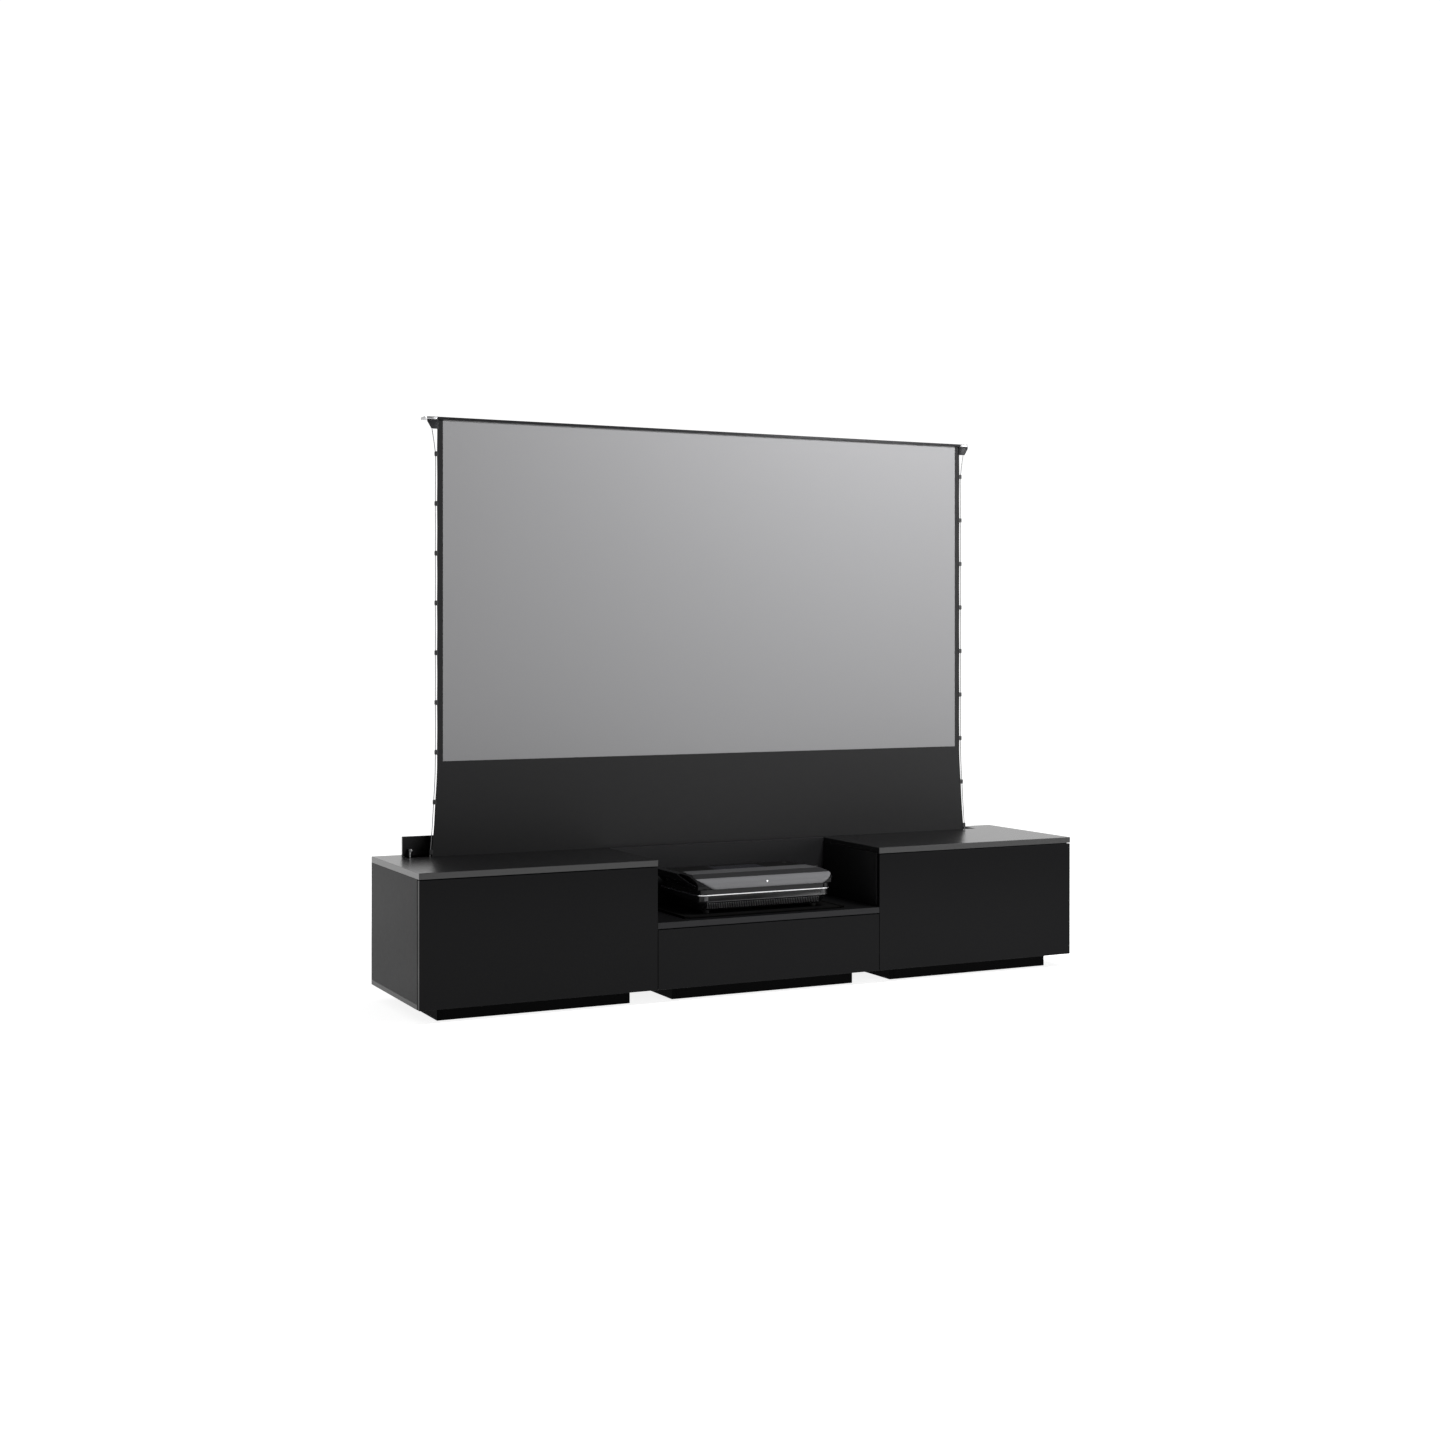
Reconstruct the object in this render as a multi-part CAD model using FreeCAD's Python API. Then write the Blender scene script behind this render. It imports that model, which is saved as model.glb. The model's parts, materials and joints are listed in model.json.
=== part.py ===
"""Home projector console: a low three-part cabinet with a laser projector on a sliding tray in its middle
niche, and a motor-driven screen that rises out of a slot in the top on two folding arms.

Millimetres, +Z up. The origin is on the floor at the centre of the cabinet's footprint. The fronts face -Y.
Every length is a named value, and every place is worked out from those values.
"""
import FreeCAD, Part
import math
import os

V = FreeCAD.Vector

# ---------------------------------------------------------------- driving dimensions: cabinet
centre_width = 920.0        # width of the middle cabinet, which holds the niche and the drawer
slot_end_margin = 100.0     # slot's left end to the cabinet's left side
niche_rear_gap = 25.0       # projector to the back of the niche
height = 515.0              # floor to the top surface
plinth_height = 50.0
plinth_front_inset = 62.0
plinth_side_inset = 83.0
plinth_rear_inset = 40.0
top_thickness = 22.0        # top boards and the shelf
panel_thickness = 18.0      # sides, bottoms, doors and plinth boards
rear_thickness = 8.0
shelf_top = 290.0           # floor of the niche
front_gap = 3.0             # gap above a door or the drawer front
side_gap = 1.0              # gap beside a door
door_standoff = 4.0         # space between a door's back and the carcass
edge_radius = 1.0           # eased edges of the boards

# ---------------------------------------------------------------- driving dimensions: door hinges and latches
hinges_per_door = 3
hinge_inset = 110.0         # end hinge to the door's end
hinge_axis_rise = 9.0       # hinge axis above the door's lower edge
knuckle_radius = 5.5
knuckle_length = 24.0
hinge_pin_radius = 2.5
hinge_pin_length = 38.0
running_clearance = 0.05    # radial, pin in bore
notch_clearance = 1.0
notch_headroom = 2.5        # above the hinge plate
hinge_plate_reach = 70.0    # from the door's face
hinge_plate_thickness = 3.0
latch_length = 50.0
latch_size = 12.0
latch_setback = 40.0        # door face to the latch body
plunger_radius = 3.0
plunger_travel = 3.0
plunger_tip_gap = 0.3

# ---------------------------------------------------------------- driving dimensions: drawer and tray
runner_width = 13.0
runner_height = 45.0
runner_rear_gap = 8.0
runner_wall = 1.5
runner_play = 1.0
drawer_side_thickness = 15.0
drawer_bottom_thickness = 6.0
drawer_box_rise = 25.0      # bottom board to the drawer box
drawer_headroom = 35.0      # drawer box to the shelf, with room for the latch
tray_side_margin = 15.0     # projector's side to the tray's
tray_thickness = 5.0
tray_float = 2.0            # shelf to the tray
tray_front_margin = 12.0    # tray's front edge to the projector's nose
tray_rear_margin = 13.0
tray_runner_width = 20.0
tray_runner_height = 9.0
tray_slide_height = 4.0

# ---------------------------------------------------------------- driving dimensions: screen unit
picture_width = 2214.0      # 100 inch picture, 16:9
picture_height = picture_width * 9.0 / 16.0
drop_height = 345.0         # top surface to the picture's lower edge
border_width = 22.5
flare_width = 20.5          # how much wider the black drop is at the slot, each side
fabric_thickness = 0.6
slot_front_rail = 15.0      # top strip before the slot
slot_rear_rail = 34.0       # top strip behind the slot
bar_front_play = 2.0        # slot's front edge to the bar
bar_rear_play = 4.0         # bar to the raised lid
slot_left_play = 69.0       # slot's left end to the bar, with room for the lid's link
slot_right_play = 29.0
housing_wall = 2.0
end_plate_thickness = 3.0
housing_clearance = 2.0     # round the housing
roller_radius = 25.0
roller_wall = 2.0
winding_thickness = 2.0     # fabric that stays on the roller
roller_rise = 42.0          # bottom board to the roller's axis
roller_gap = 0.4            # fabric to the winding
roller_overhang = 10.0
motor_play = 3.0            # radial, motor in roller
motor_length = 520.0
motor_head_radius = 28.0
motor_head_length = 25.0
journal_radius = 8.0
bearing_size = 44.0
bearing_length = 30.0

bar_overhang = 38.5         # masking's edge to the bar's end
bar_front_lip = 5.0         # bar's front face to the fabric
bar_rear_cover = 6.0        # lower arms to the bar's rear face
bar_height = 10.0
bar_wall = 2.0
end_cap_length = 8.0
gusset_height = 35.0
gusset_foot = 20.0
gusset_thickness = 6.0
cord_radius = 1.5
cord_offset = 6.0           # border edge to the cord beside the picture
clip_pitch = 181.0
clip_drop = 126.0           # picture top to the first clip
clip_radius = 7.0
clip_thickness = 5.0

arm_width = 36.0
arm_thickness = 14.0
arm_wall = 2.0
arm_gap = 3.0               # between the two arms of one pair
arm_setback = 10.0          # fabric to the upper arms
arm_pivot_half_spacing = 100.0
arm_base_rise = 107.0       # bottom board to the lower pivots
arm_raised_angle = 80.0     # degrees above the horizontal, screen up
bar_pivot_drop = 19.0       # bar's underside to the upper pivots
arm_pin_radius = 5.0
cheek_thickness = 3.5
cheek_gap = 0.5

lid_thickness = 14.0
lid_gap = 1.0               # round the lid, open or closed
lid_left_gap = 2.0          # slot's left end to the lid
lid_right_gap = 27.0
lid_hinge_count = 5
lid_hinge_length = 60.0
lid_knuckle_radius = 3.0
lid_leaf_thickness = 3.0
lid_leaf_width = 20.0
lid_knuckle_play = 0.2      # between a knuckle and the other leaf
lid_pin_radius = 1.5
link_radius = 3.0
link_length = 90.0
link_pin_rise = 21.0        # top surface to the link's pin
link_pin_reach = 9.0        # lid's face to the link's pin
link_setback_from_end = 25.0

# ---------------------------------------------------------------- driving dimensions: projector
projector_x = 8.0
projector_width = 596.0
projector_depth = 347.0
projector_setback = 58.0    # door face to the projector's nose
projector_height = 127.0    # case without its feet
foot_height = 11.0
foot_radius = 14.0
case_wall = 3.0
trim_rise = 58.0            # case bottom to the trim band
trim_height = 3.0
trim_proud = 8.0
nose_rise = 79.0            # case bottom to the hood's lower edge
nose_overhang = 10.0        # hood's nose before the lower case
band_recess = 5.0           # gloss band behind the nose, under the hood
flare_start = 80.0          # case bottom to where the sides begin to widen
flare_end = 104.0
crown_setback = 37.0        # nose to the front edge of the flat top
hood_length = 147.0         # nose to the hood's rear edge
lower_inset = 24.0          # how much narrower the case is below the hood, each side
window_width = 210.0
window_length = 110.0
window_rear_inset = 47.0    # case's rear to the window's rear edge
window_thickness = 2.5
grille_slots = 52
grille_height = 28.0
grille_side_margin = 39.0   # case's side to the grille
grille_rise = 5.0
fan_radius = 38.0
fan_hub_radius = 14.0
fan_blades = 7
fan_width = 12.0
button_radius = 8.0
button_travel = 1.0

# ---------------------------------------------------------------- derived places
picture_half = picture_width / 2.0
picture_bottom = height + drop_height
masking_half = picture_half + border_width
bar_half_length = masking_half + bar_overhang
bar_depth = bar_front_lip + arm_setback + 2.0 * arm_thickness + arm_gap + bar_rear_cover
slot_width = bar_front_play + bar_depth + bar_rear_play + lid_thickness + lid_gap
slot_left = -(bar_half_length + end_cap_length + slot_left_play)
slot_right = bar_half_length + end_cap_length + slot_right_play
bay_depth = slot_front_rail + slot_width + slot_rear_rail
depth = projector_setback + projector_depth + niche_rear_gap + panel_thickness + bay_depth
half_total = slot_end_margin - slot_left
half_centre = centre_width / 2.0
front = -depth / 2.0                        # plane of the door faces
rear = depth / 2.0
carcass_front = front + panel_thickness + door_standoff
bay_front = rear - bay_depth                # front face of the rear bay
bay_panel_front = bay_front - panel_thickness
top_under = height - top_thickness
floor_top = plinth_height + panel_thickness  # upper face of the bottom boards
shelf_under = shelf_top - top_thickness
slot_rear_y = rear - slot_rear_rail
slot_front_y = slot_rear_y - slot_width
fabric_y = slot_front_y + bar_front_play + bar_front_lip
picture_top = picture_bottom + picture_height
bar_top = picture_top + bar_height - 1.0
bar_under = bar_top - bar_height
bar_front_y = fabric_y - bar_front_lip
upper_arm_y = fabric_y + arm_setback
lower_arm_y = upper_arm_y + arm_thickness + arm_gap
arm_base_height = floor_top + arm_base_rise
arm_top_height = bar_under - bar_pivot_drop
arm_rise = arm_top_height - arm_base_height
arm_length = arm_rise / (2.0 * math.sin(math.radians(arm_raised_angle)))
winding_radius = roller_radius + winding_thickness
roller_height = floor_top + roller_rise
motor_radius = roller_radius - roller_wall - motor_play
lid_left = slot_left + lid_left_gap
lid_right = slot_right - lid_right_gap
drawer_box_height = shelf_under - drawer_headroom - floor_top - drawer_box_rise
runner_length = bay_panel_front - runner_rear_gap - carcass_front
tray_width = projector_width + 2.0 * tray_side_margin
tray_length = tray_front_margin + projector_depth + tray_rear_margin
roller_y = fabric_y + fabric_thickness + roller_gap + winding_radius
housing_front_y = bay_front + housing_clearance
housing_rear_y = rear - rear_thickness - 2.0 * housing_clearance
housing_top = top_under - housing_clearance
lid_axis_y = slot_rear_y - lid_gap / 2.0
lid_axis_z = height
tray_under = shelf_top + tray_float
tray_top = tray_under + tray_thickness
case_bottom = tray_top + foot_height
case_top = case_bottom + projector_height
nose_y = front + projector_setback
case_rear_y = nose_y + projector_depth
window_rear_y = case_rear_y - window_rear_inset


# ---------------------------------------------------------------- small helpers
def block(x0, x1, y0, y1, z0, z1):
    """A box between two corners."""
    return Part.makeBox(x1 - x0, y1 - y0, z1 - z0, V(x0, y0, z0))


def rod(radius, start, direction, length):
    """A solid cylinder from start along direction."""
    return Part.makeCylinder(radius, length, V(*start), V(*direction))


def tube(outer, inner, start, direction, length):
    return rod(outer, start, direction, length).cut(rod(inner, start, direction, length))


def mirrored(shape):
    """The same shape on the other side of the cabinet's middle plane."""
    return shape.mirror(V(0, 0, 0), V(1, 0, 0))


def prism_x(points, x0, x1):
    """A closed outline of (y, z) points, extruded along X."""
    corners = [V(x0, y, z) for y, z in points]
    return Part.Face(Part.makePolygon(corners + corners[:1])).extrude(V(x1 - x0, 0, 0))


def prism_y(points, y0, y1):
    """A closed outline of (x, z) points, extruded along Y."""
    corners = [V(x, y0, z) for x, z in points]
    return Part.Face(Part.makePolygon(corners + corners[:1])).extrude(V(0, y1 - y0, 0))


def eased(shape, radius=edge_radius):
    """A board with its edges slightly rounded, as an edge-banded board has."""
    return shape.makeFillet(radius, shape.Edges)


def board(x0, x1, y0, y1, z0, z1):
    return eased(block(x0, x1, y0, y1, z0, z1))


def group(shapes):
    return Part.makeCompound(shapes)


def save(name, shape):
    shape.exportStep(os.path.join("parts", name + ".step"))


def side_spans():
    """(x0, x1) of the left, middle and right cabinets."""
    return {
        "left": (-half_total, -half_centre),
        "centre": (-half_centre, half_centre),
        "right": (half_centre, half_total),
    }


# ---------------------------------------------------------------- cabinet boards
def side_top_board(side):
    x0, x1 = side_spans()[side]
    slab = board(x0, x1, front, rear, top_under, height)
    notch_x0 = slot_left if side == "left" else x0 - 1.0
    notch_x1 = slot_right if side == "right" else x1 + 1.0
    slab = slab.cut(block(notch_x0, notch_x1, slot_front_y, slot_rear_y, top_under - 1.0, height + 1.0))
    return slab.cut(lid_hinge_recesses())


def centre_top_rails():
    """The two strips before and behind the slot, over the middle cabinet."""
    x0, x1 = side_spans()["centre"]
    return group([
        board(x0, x1, bay_front, slot_front_y, top_under, height),
        board(x0, x1, slot_rear_y, rear, top_under, height).cut(lid_hinge_recesses()),
    ])


def outer_side(side):
    x0, x1 = side_spans()[side]
    span = (x0, x0 + panel_thickness) if side == "left" else (x1 - panel_thickness, x1)
    return board(*span, carcass_front, rear, floor_top, top_under)


def inner_side_panels():
    """The niche's two walls, and the two sides of the middle cabinet below the shelf."""
    panels = []
    for sign in (-1, 1):
        wall = sorted((sign * half_centre, sign * (half_centre + panel_thickness)))
        panels.append(board(*wall, carcass_front, bay_front, floor_top, top_under))
        low = sorted((sign * half_centre, sign * (half_centre - panel_thickness)))
        panels.append(board(*low, carcass_front, bay_front, floor_top, shelf_under))
    return group(panels)


def bottom_boards():
    return group([
        board(x0, x1, carcass_front, rear, plinth_height, floor_top) for x0, x1 in side_spans().values()
    ])


def centre_shelf():
    return board(-half_centre, half_centre, front, bay_front, shelf_under, shelf_top)


def bay_panels():
    """The inner backs: niche back, drawer back and the backs of the two side compartments."""
    inner = half_centre + panel_thickness
    outer = half_total - panel_thickness
    low = half_centre - panel_thickness
    return group([
        board(-half_centre, half_centre, bay_panel_front, bay_front, shelf_top, height),
        board(-low, low, bay_panel_front, bay_front, floor_top, shelf_under),
        board(-outer, -inner, bay_panel_front, bay_front, floor_top, top_under),
        board(inner, outer, bay_panel_front, bay_front, floor_top, top_under),
    ])


def rear_panels():
    """Three removable service panels with vent slots; the left one has the inlet's cut-out."""
    y0, y1 = rear - rear_thickness, rear
    outer = half_total - panel_thickness
    panels = []
    for x0, x1 in ((-outer, -half_centre), (-half_centre, half_centre), (half_centre, outer)):
        panel = block(x0, x1, y0, y1, floor_top, top_under)
        middle = (x0 + x1) / 2.0
        slots = []
        for i in range(9):
            z = floor_top + 110.0 + 24.0 * i
            slots.append(block(middle - 120.0, middle + 120.0, y0 - 1.0, y1 + 1.0, z, z + 8.0))
        panels.append(panel.cut(group(slots)))
    panels[0] = panels[0].cut(inlet_hole())
    return group(panels)


inlet_x = -half_total + 120.0
inlet_z = floor_top + 60.0
inlet_width, inlet_tall, inlet_flange = 48.0, 28.0, 5.0


def inlet_hole():
    return block(inlet_x, inlet_x + inlet_width, rear - rear_thickness - 1.0, rear + 1.0,
                 inlet_z, inlet_z + inlet_tall)


def power_inlet():
    """A three-pin appliance inlet seated in the rear panel, its flange inside."""
    inner_y = rear - rear_thickness
    body = block(inlet_x, inlet_x + inlet_width, inner_y - 2.0, rear, inlet_z, inlet_z + inlet_tall)
    flange = block(inlet_x - inlet_flange, inlet_x + inlet_width + inlet_flange, inner_y - 2.0, inner_y,
                   inlet_z - inlet_flange, inlet_z + inlet_tall + inlet_flange)
    mouth = block(inlet_x + 10.0, inlet_x + inlet_width - 10.0, inner_y + 0.5, rear + 1.0,
                  inlet_z + 6.0, inlet_z + inlet_tall - 6.0)
    shell = body.fuse(flange).cut(mouth)
    for offset, rise in ((-7.0, 11.0), (0.0, 16.0), (7.0, 11.0)):
        shell = shell.fuse(rod(1.6, (inlet_x + inlet_width / 2.0 + offset, inner_y, inlet_z + rise),
                               (0, 1, 0), rear_thickness - 1.5))
    return shell


def plinths():
    """Under each cabinet, a frame of four boards; the front board stands between the side boards."""
    y0, y1 = front + plinth_front_inset, rear - plinth_rear_inset
    t = panel_thickness
    boards = []
    for x0, x1 in side_spans().values():
        a, b = x0 + plinth_side_inset, x1 - plinth_side_inset
        boards += [
            board(a, a + t, y0, y1, 0.0, plinth_height),
            board(b - t, b, y0, y1, 0.0, plinth_height),
            board(a + t, b - t, y0, y0 + t, 0.0, plinth_height),
            board(a + t, b - t, y1 - t, y1, 0.0, plinth_height),
        ]
    return group(boards)


# ---------------------------------------------------------------- doors, hinges and latches
hinge_axis_y = front + panel_thickness / 2.0
hinge_axis_z = plinth_height + hinge_axis_rise


def hinge_places(side):
    """X of each hinge of one door."""
    x0, x1 = side_spans()[side]
    step = (x1 - x0 - 2.0 * hinge_inset) / (hinges_per_door - 1)
    return [x0 + hinge_inset + step * i for i in range(hinges_per_door)]


def door(side):
    """A drop-down front, notched at its lower edge for the hinge knuckles."""
    x0, x1 = side_spans()[side]
    y1 = front + panel_thickness
    panel = board(x0 + side_gap, x1 - side_gap, front, y1, plinth_height, top_under - front_gap)
    half_notch = knuckle_length / 2.0 + notch_clearance
    skin_y = hinge_axis_y - knuckle_radius - notch_clearance / 2.0
    notch_top = floor_top + hinge_plate_thickness + notch_headroom
    for x in hinge_places(side):
        panel = panel.cut(block(x - half_notch, x + half_notch, skin_y, y1 + 1.0,
                                plinth_height - 1.0, notch_top))
        panel = panel.cut(rod(hinge_pin_radius + running_clearance,
                              (x - hinge_pin_length / 2.0 - 1.0, hinge_axis_y, hinge_axis_z),
                              (1, 0, 0), hinge_pin_length + 2.0))
    return panel


def door_hinges():
    """For each hinge, an arm screwed to the bottom board, and the pin that the door turns on."""
    pieces = []
    for side in ("left", "right"):
        for x in hinge_places(side):
            half = knuckle_length / 2.0
            start = (x - half, hinge_axis_y, hinge_axis_z)
            arm = rod(knuckle_radius, start, (1, 0, 0), knuckle_length)
            plate_top = floor_top + hinge_plate_thickness
            arm = arm.fuse(block(x - half, x + half, hinge_axis_y, hinge_axis_y + knuckle_radius,
                                 hinge_axis_z, plate_top))
            arm = arm.fuse(block(x - half, x + half, hinge_axis_y, front + hinge_plate_reach,
                                 floor_top, plate_top))
            arm = arm.cut(rod(hinge_pin_radius, (x - half - 1.0, hinge_axis_y, hinge_axis_z),
                              (1, 0, 0), knuckle_length + 2.0)).removeSplitter()
            pieces.append(arm)
            pieces.append(rod(hinge_pin_radius, (x - hinge_pin_length / 2.0, hinge_axis_y, hinge_axis_z),
                              (1, 0, 0), hinge_pin_length))
    return group(pieces)


def latch_place(name):
    """(x, top z) of a push latch: under the top board for a door, under the shelf for the drawer."""
    if name == "drawer":
        return 0.0, shelf_under
    x0, x1 = side_spans()[name]
    return (x0 + x1) / 2.0, top_under


def push_latch_bodies():
    bodies = []
    for name in ("left", "right", "drawer"):
        x, top = latch_place(name)
        y0 = front + latch_setback
        body = block(x - latch_size / 2.0, x + latch_size / 2.0, y0, y0 + latch_length, top - latch_size, top)
        bodies.append(body.cut(rod(plunger_radius + running_clearance, (x, y0 - 1.0, top - latch_size / 2.0),
                                   (0, 1, 0), latch_length - 3.0)))
    return group(bodies)


def latch_plunger(name):
    x, top = latch_place(name)
    y0 = front + panel_thickness + plunger_tip_gap
    length = latch_setback + latch_length - panel_thickness - plunger_tip_gap - plunger_travel - 6.0
    shaft = rod(plunger_radius, (x, y0, top - latch_size / 2.0), (0, 1, 0), length)
    head = rod(plunger_radius + 1.5, (x, y0, top - latch_size / 2.0), (0, 1, 0), 4.0)
    return shaft.fuse(head)


# ---------------------------------------------------------------- drawer and tray
def channel(x_web, x_lip, y0, y1, z0, z1, wall):
    """A C-shaped runner: a web at x_web, with lips at top and bottom that reach to x_lip."""
    inward = wall if x_lip > x_web else -wall
    web = sorted((x_web, x_web + inward))
    span = sorted((x_web, x_lip))
    return block(*web, y0, y1, z0, z1).fuse(
        [block(*span, y0, y1, z0, z0 + wall), block(*span, y0, y1, z1 - wall, z1)]).removeSplitter()


drawer_inner_half = half_centre - panel_thickness
drawer_half = drawer_inner_half - runner_width
drawer_box_z = floor_top + drawer_box_rise
runner_z = drawer_box_z + (drawer_box_height - runner_height) / 2.0
drawer_box_rear = bay_panel_front - 20.0


def drawer_front():
    return board(-half_centre + side_gap, half_centre - side_gap, front, front + panel_thickness,
                 plinth_height, shelf_under - front_gap)


def drawer_box():
    """Two sides, a back, a front board and a bottom let into them."""
    t = drawer_side_thickness
    y0, y1 = front + panel_thickness, drawer_box_rear
    z0, z1 = drawer_box_z, drawer_box_z + drawer_box_height
    floor_z = z0 + drawer_bottom_thickness
    return group([
        block(-drawer_half, -drawer_half + t, y0, y1, floor_z, z1),
        block(drawer_half - t, drawer_half, y0, y1, floor_z, z1),
        block(-drawer_half + t, drawer_half - t, y0, y0 + t, floor_z, z1),
        block(-drawer_half + t, drawer_half - t, y1 - t, y1, floor_z, z1),
        block(-drawer_half, drawer_half, y0, y1, z0, floor_z),
    ])


def drawer_runners():
    """The outer runner members, screwed to the cabinet."""
    right = channel(drawer_inner_half, drawer_half + 3.0, carcass_front, carcass_front + runner_length,
                    runner_z, runner_z + runner_height, runner_wall)
    return group([right, mirrored(right)])


def drawer_slides():
    """The inner runner members, screwed to the drawer box and nested in the outer ones."""
    inset = runner_wall + runner_play
    right = channel(drawer_half, drawer_inner_half - 3.0, carcass_front, drawer_box_rear,
                    runner_z + inset, runner_z + runner_height - inset, runner_wall)
    return group([right, mirrored(right)])


tray_half = tray_width / 2.0
tray_front_y = front + projector_setback - tray_front_margin


def projector_tray():
    return board(-tray_half, tray_half, tray_front_y, tray_front_y + tray_length, tray_under, tray_top)


def tray_runners():
    right = channel(tray_half + tray_runner_width, tray_half + 6.0, tray_front_y, tray_front_y + tray_length,
                    shelf_top, shelf_top + tray_runner_height, runner_wall)
    return group([right, mirrored(right)])


def tray_slides():
    z0 = shelf_top + (tray_runner_height - tray_slide_height) / 2.0
    right = block(tray_half, tray_half + tray_runner_width - runner_wall - runner_play,
                  tray_front_y + 4.0, tray_front_y + tray_length - 4.0, z0, z0 + tray_slide_height)
    return group([right, mirrored(right)])


# ---------------------------------------------------------------- screen unit: housing and roller
housing_left = slot_left + end_plate_thickness
housing_right = slot_right


def screen_housing():
    """A folded steel trough along the rear bay, open at the top, with a plate on each end."""
    outer = block(housing_left, housing_right, housing_front_y, housing_rear_y, floor_top, housing_top)
    inner = block(housing_left - 1.0, housing_right + 1.0, housing_front_y + housing_wall,
                  housing_rear_y - housing_wall, floor_top + housing_wall, housing_top + 1.0)
    plates = [block(x, x + end_plate_thickness, housing_front_y, housing_rear_y, floor_top, housing_top)
              for x in (housing_left - end_plate_thickness, housing_right)]
    return group([outer.cut(inner)] + plates)


drop_half = masking_half + flare_width
roller_half = drop_half + roller_overhang


def roller_tube():
    """The tube, the turns of fabric that never leave it, and the idle journal at its right end."""
    bare = tube(roller_radius, roller_radius - roller_wall, (-roller_half, roller_y, roller_height),
                (1, 0, 0), 2.0 * roller_half)
    winding = tube(winding_radius, roller_radius, (-drop_half, roller_y, roller_height),
                   (1, 0, 0), 2.0 * drop_half)
    plug = rod(roller_radius - roller_wall, (roller_half - 30.0, roller_y, roller_height), (1, 0, 0), 30.0)
    journal_end = housing_right - 4.0
    journal = rod(journal_radius, (roller_half, roller_y, roller_height), (1, 0, 0), journal_end - roller_half)
    return group([bare, winding, plug.fuse(journal)])


def roller_motor():
    """A tubular motor inside the roller's left end, with its head on the end plate."""
    head = rod(motor_head_radius, (housing_left, roller_y, roller_height), (1, 0, 0), motor_head_length)
    body = rod(motor_radius, (housing_left, roller_y, roller_height), (1, 0, 0), motor_length)
    return head.fuse(body)


def roller_bearing():
    half = bearing_size / 2.0
    body = block(housing_right - bearing_length, housing_right, roller_y - half, roller_y + half,
                 floor_top + housing_wall, roller_height + half)
    return body.cut(rod(journal_radius + running_clearance,
                        (housing_right - bearing_length - 1.0, roller_y, roller_height),
                        (1, 0, 0), bearing_length + 2.0))


# ---------------------------------------------------------------- screen unit: fabric, cords and clips
def edge_at(z):
    """Half width of the fabric at a height: straight beside the picture, flared below it."""
    straight = masking_half
    if z >= picture_bottom:
        return straight
    share = min(1.0, (picture_bottom - z) / (picture_bottom - height))
    return straight + flare_width * share ** 1.3


def viewing_fabric():
    return block(-picture_half, picture_half, fabric_y, fabric_y + fabric_thickness, picture_bottom, picture_top)


def black_masking():
    """The black borders beside the picture and the long black drop under it, in one piece."""
    steps = 8
    heights = [picture_bottom + (height - picture_bottom) * i / steps for i in range(steps + 1)]
    right = [(edge_at(picture_top), picture_top)]
    right += [(edge_at(z), z) for z in heights]
    right += [(edge_at(height), roller_height)]
    outline = right + [(-x, z) for x, z in reversed(right)]
    sheet = prism_y(outline, fabric_y, fabric_y + fabric_thickness)
    return sheet.cut(block(-picture_half, picture_half, fabric_y - 1.0, fabric_y + 2.0,
                           picture_bottom, picture_top + 1.0))


def clip_heights():
    count = int((picture_top - clip_drop - height) / clip_pitch) + 1
    return [picture_top - clip_drop - clip_pitch * i for i in range(count)]


def cord_centre_y():
    return fabric_y + fabric_thickness / 2.0


def cord_points():
    """The right cord's route: gusset, first clip, down the straight border, and out along the flare."""
    heights = clip_heights()
    points = [(bar_half_length - gusset_foot, bar_under - gusset_height)]
    points += [(edge_at(z) + cord_offset, z) for z in heights]
    points.append((edge_at(height) + cord_offset + 3.0, height - 25.0))
    return points


def tension_cords():
    """Each cord is a chain of straight runs with a ball at every clip, held tight from end to end."""
    y = cord_centre_y()
    cord = None
    points = cord_points()
    for (xa, za), (xb, zb) in zip(points, points[1:]):
        run = V(xb - xa, 0, zb - za)
        piece = Part.makeCylinder(cord_radius, run.Length, V(xa, y, za), run)
        joint = Part.makeSphere(cord_radius, V(xb, y, zb))
        cord = piece.fuse(joint) if cord is None else cord.fuse([piece, joint])
    return group([cord, mirrored(cord)])


def edge_clips():
    """Small round clips that tie the fabric's edge to the cord."""
    clips = []
    for z in clip_heights():
        edge = edge_at(z)
        clip = rod(clip_radius, (edge + cord_offset - 2.0, fabric_y - clip_thickness, z), (0, 1, 0),
                   clip_thickness - 1.7)
        clips += [clip, mirrored(clip)]
    return group(clips)


# ---------------------------------------------------------------- screen unit: top bar and folding arms
def top_bar():
    """A hollow extrusion that carries the fabric's upper edge."""
    outer = block(-bar_half_length, bar_half_length, bar_front_y, bar_front_y + bar_depth, bar_under, bar_top)
    inner = block(-bar_half_length - 1.0, bar_half_length + 1.0, bar_front_y + bar_wall,
                  bar_front_y + bar_depth - bar_wall, bar_under + bar_wall, bar_top - bar_wall)
    seat = block(-edge_at(picture_top) - 1.0, edge_at(picture_top) + 1.0, fabric_y - 0.2,
                 fabric_y + fabric_thickness + 0.2, bar_under - 1.0, picture_top + 0.2)
    return outer.cut(inner).cut(seat)


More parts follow.
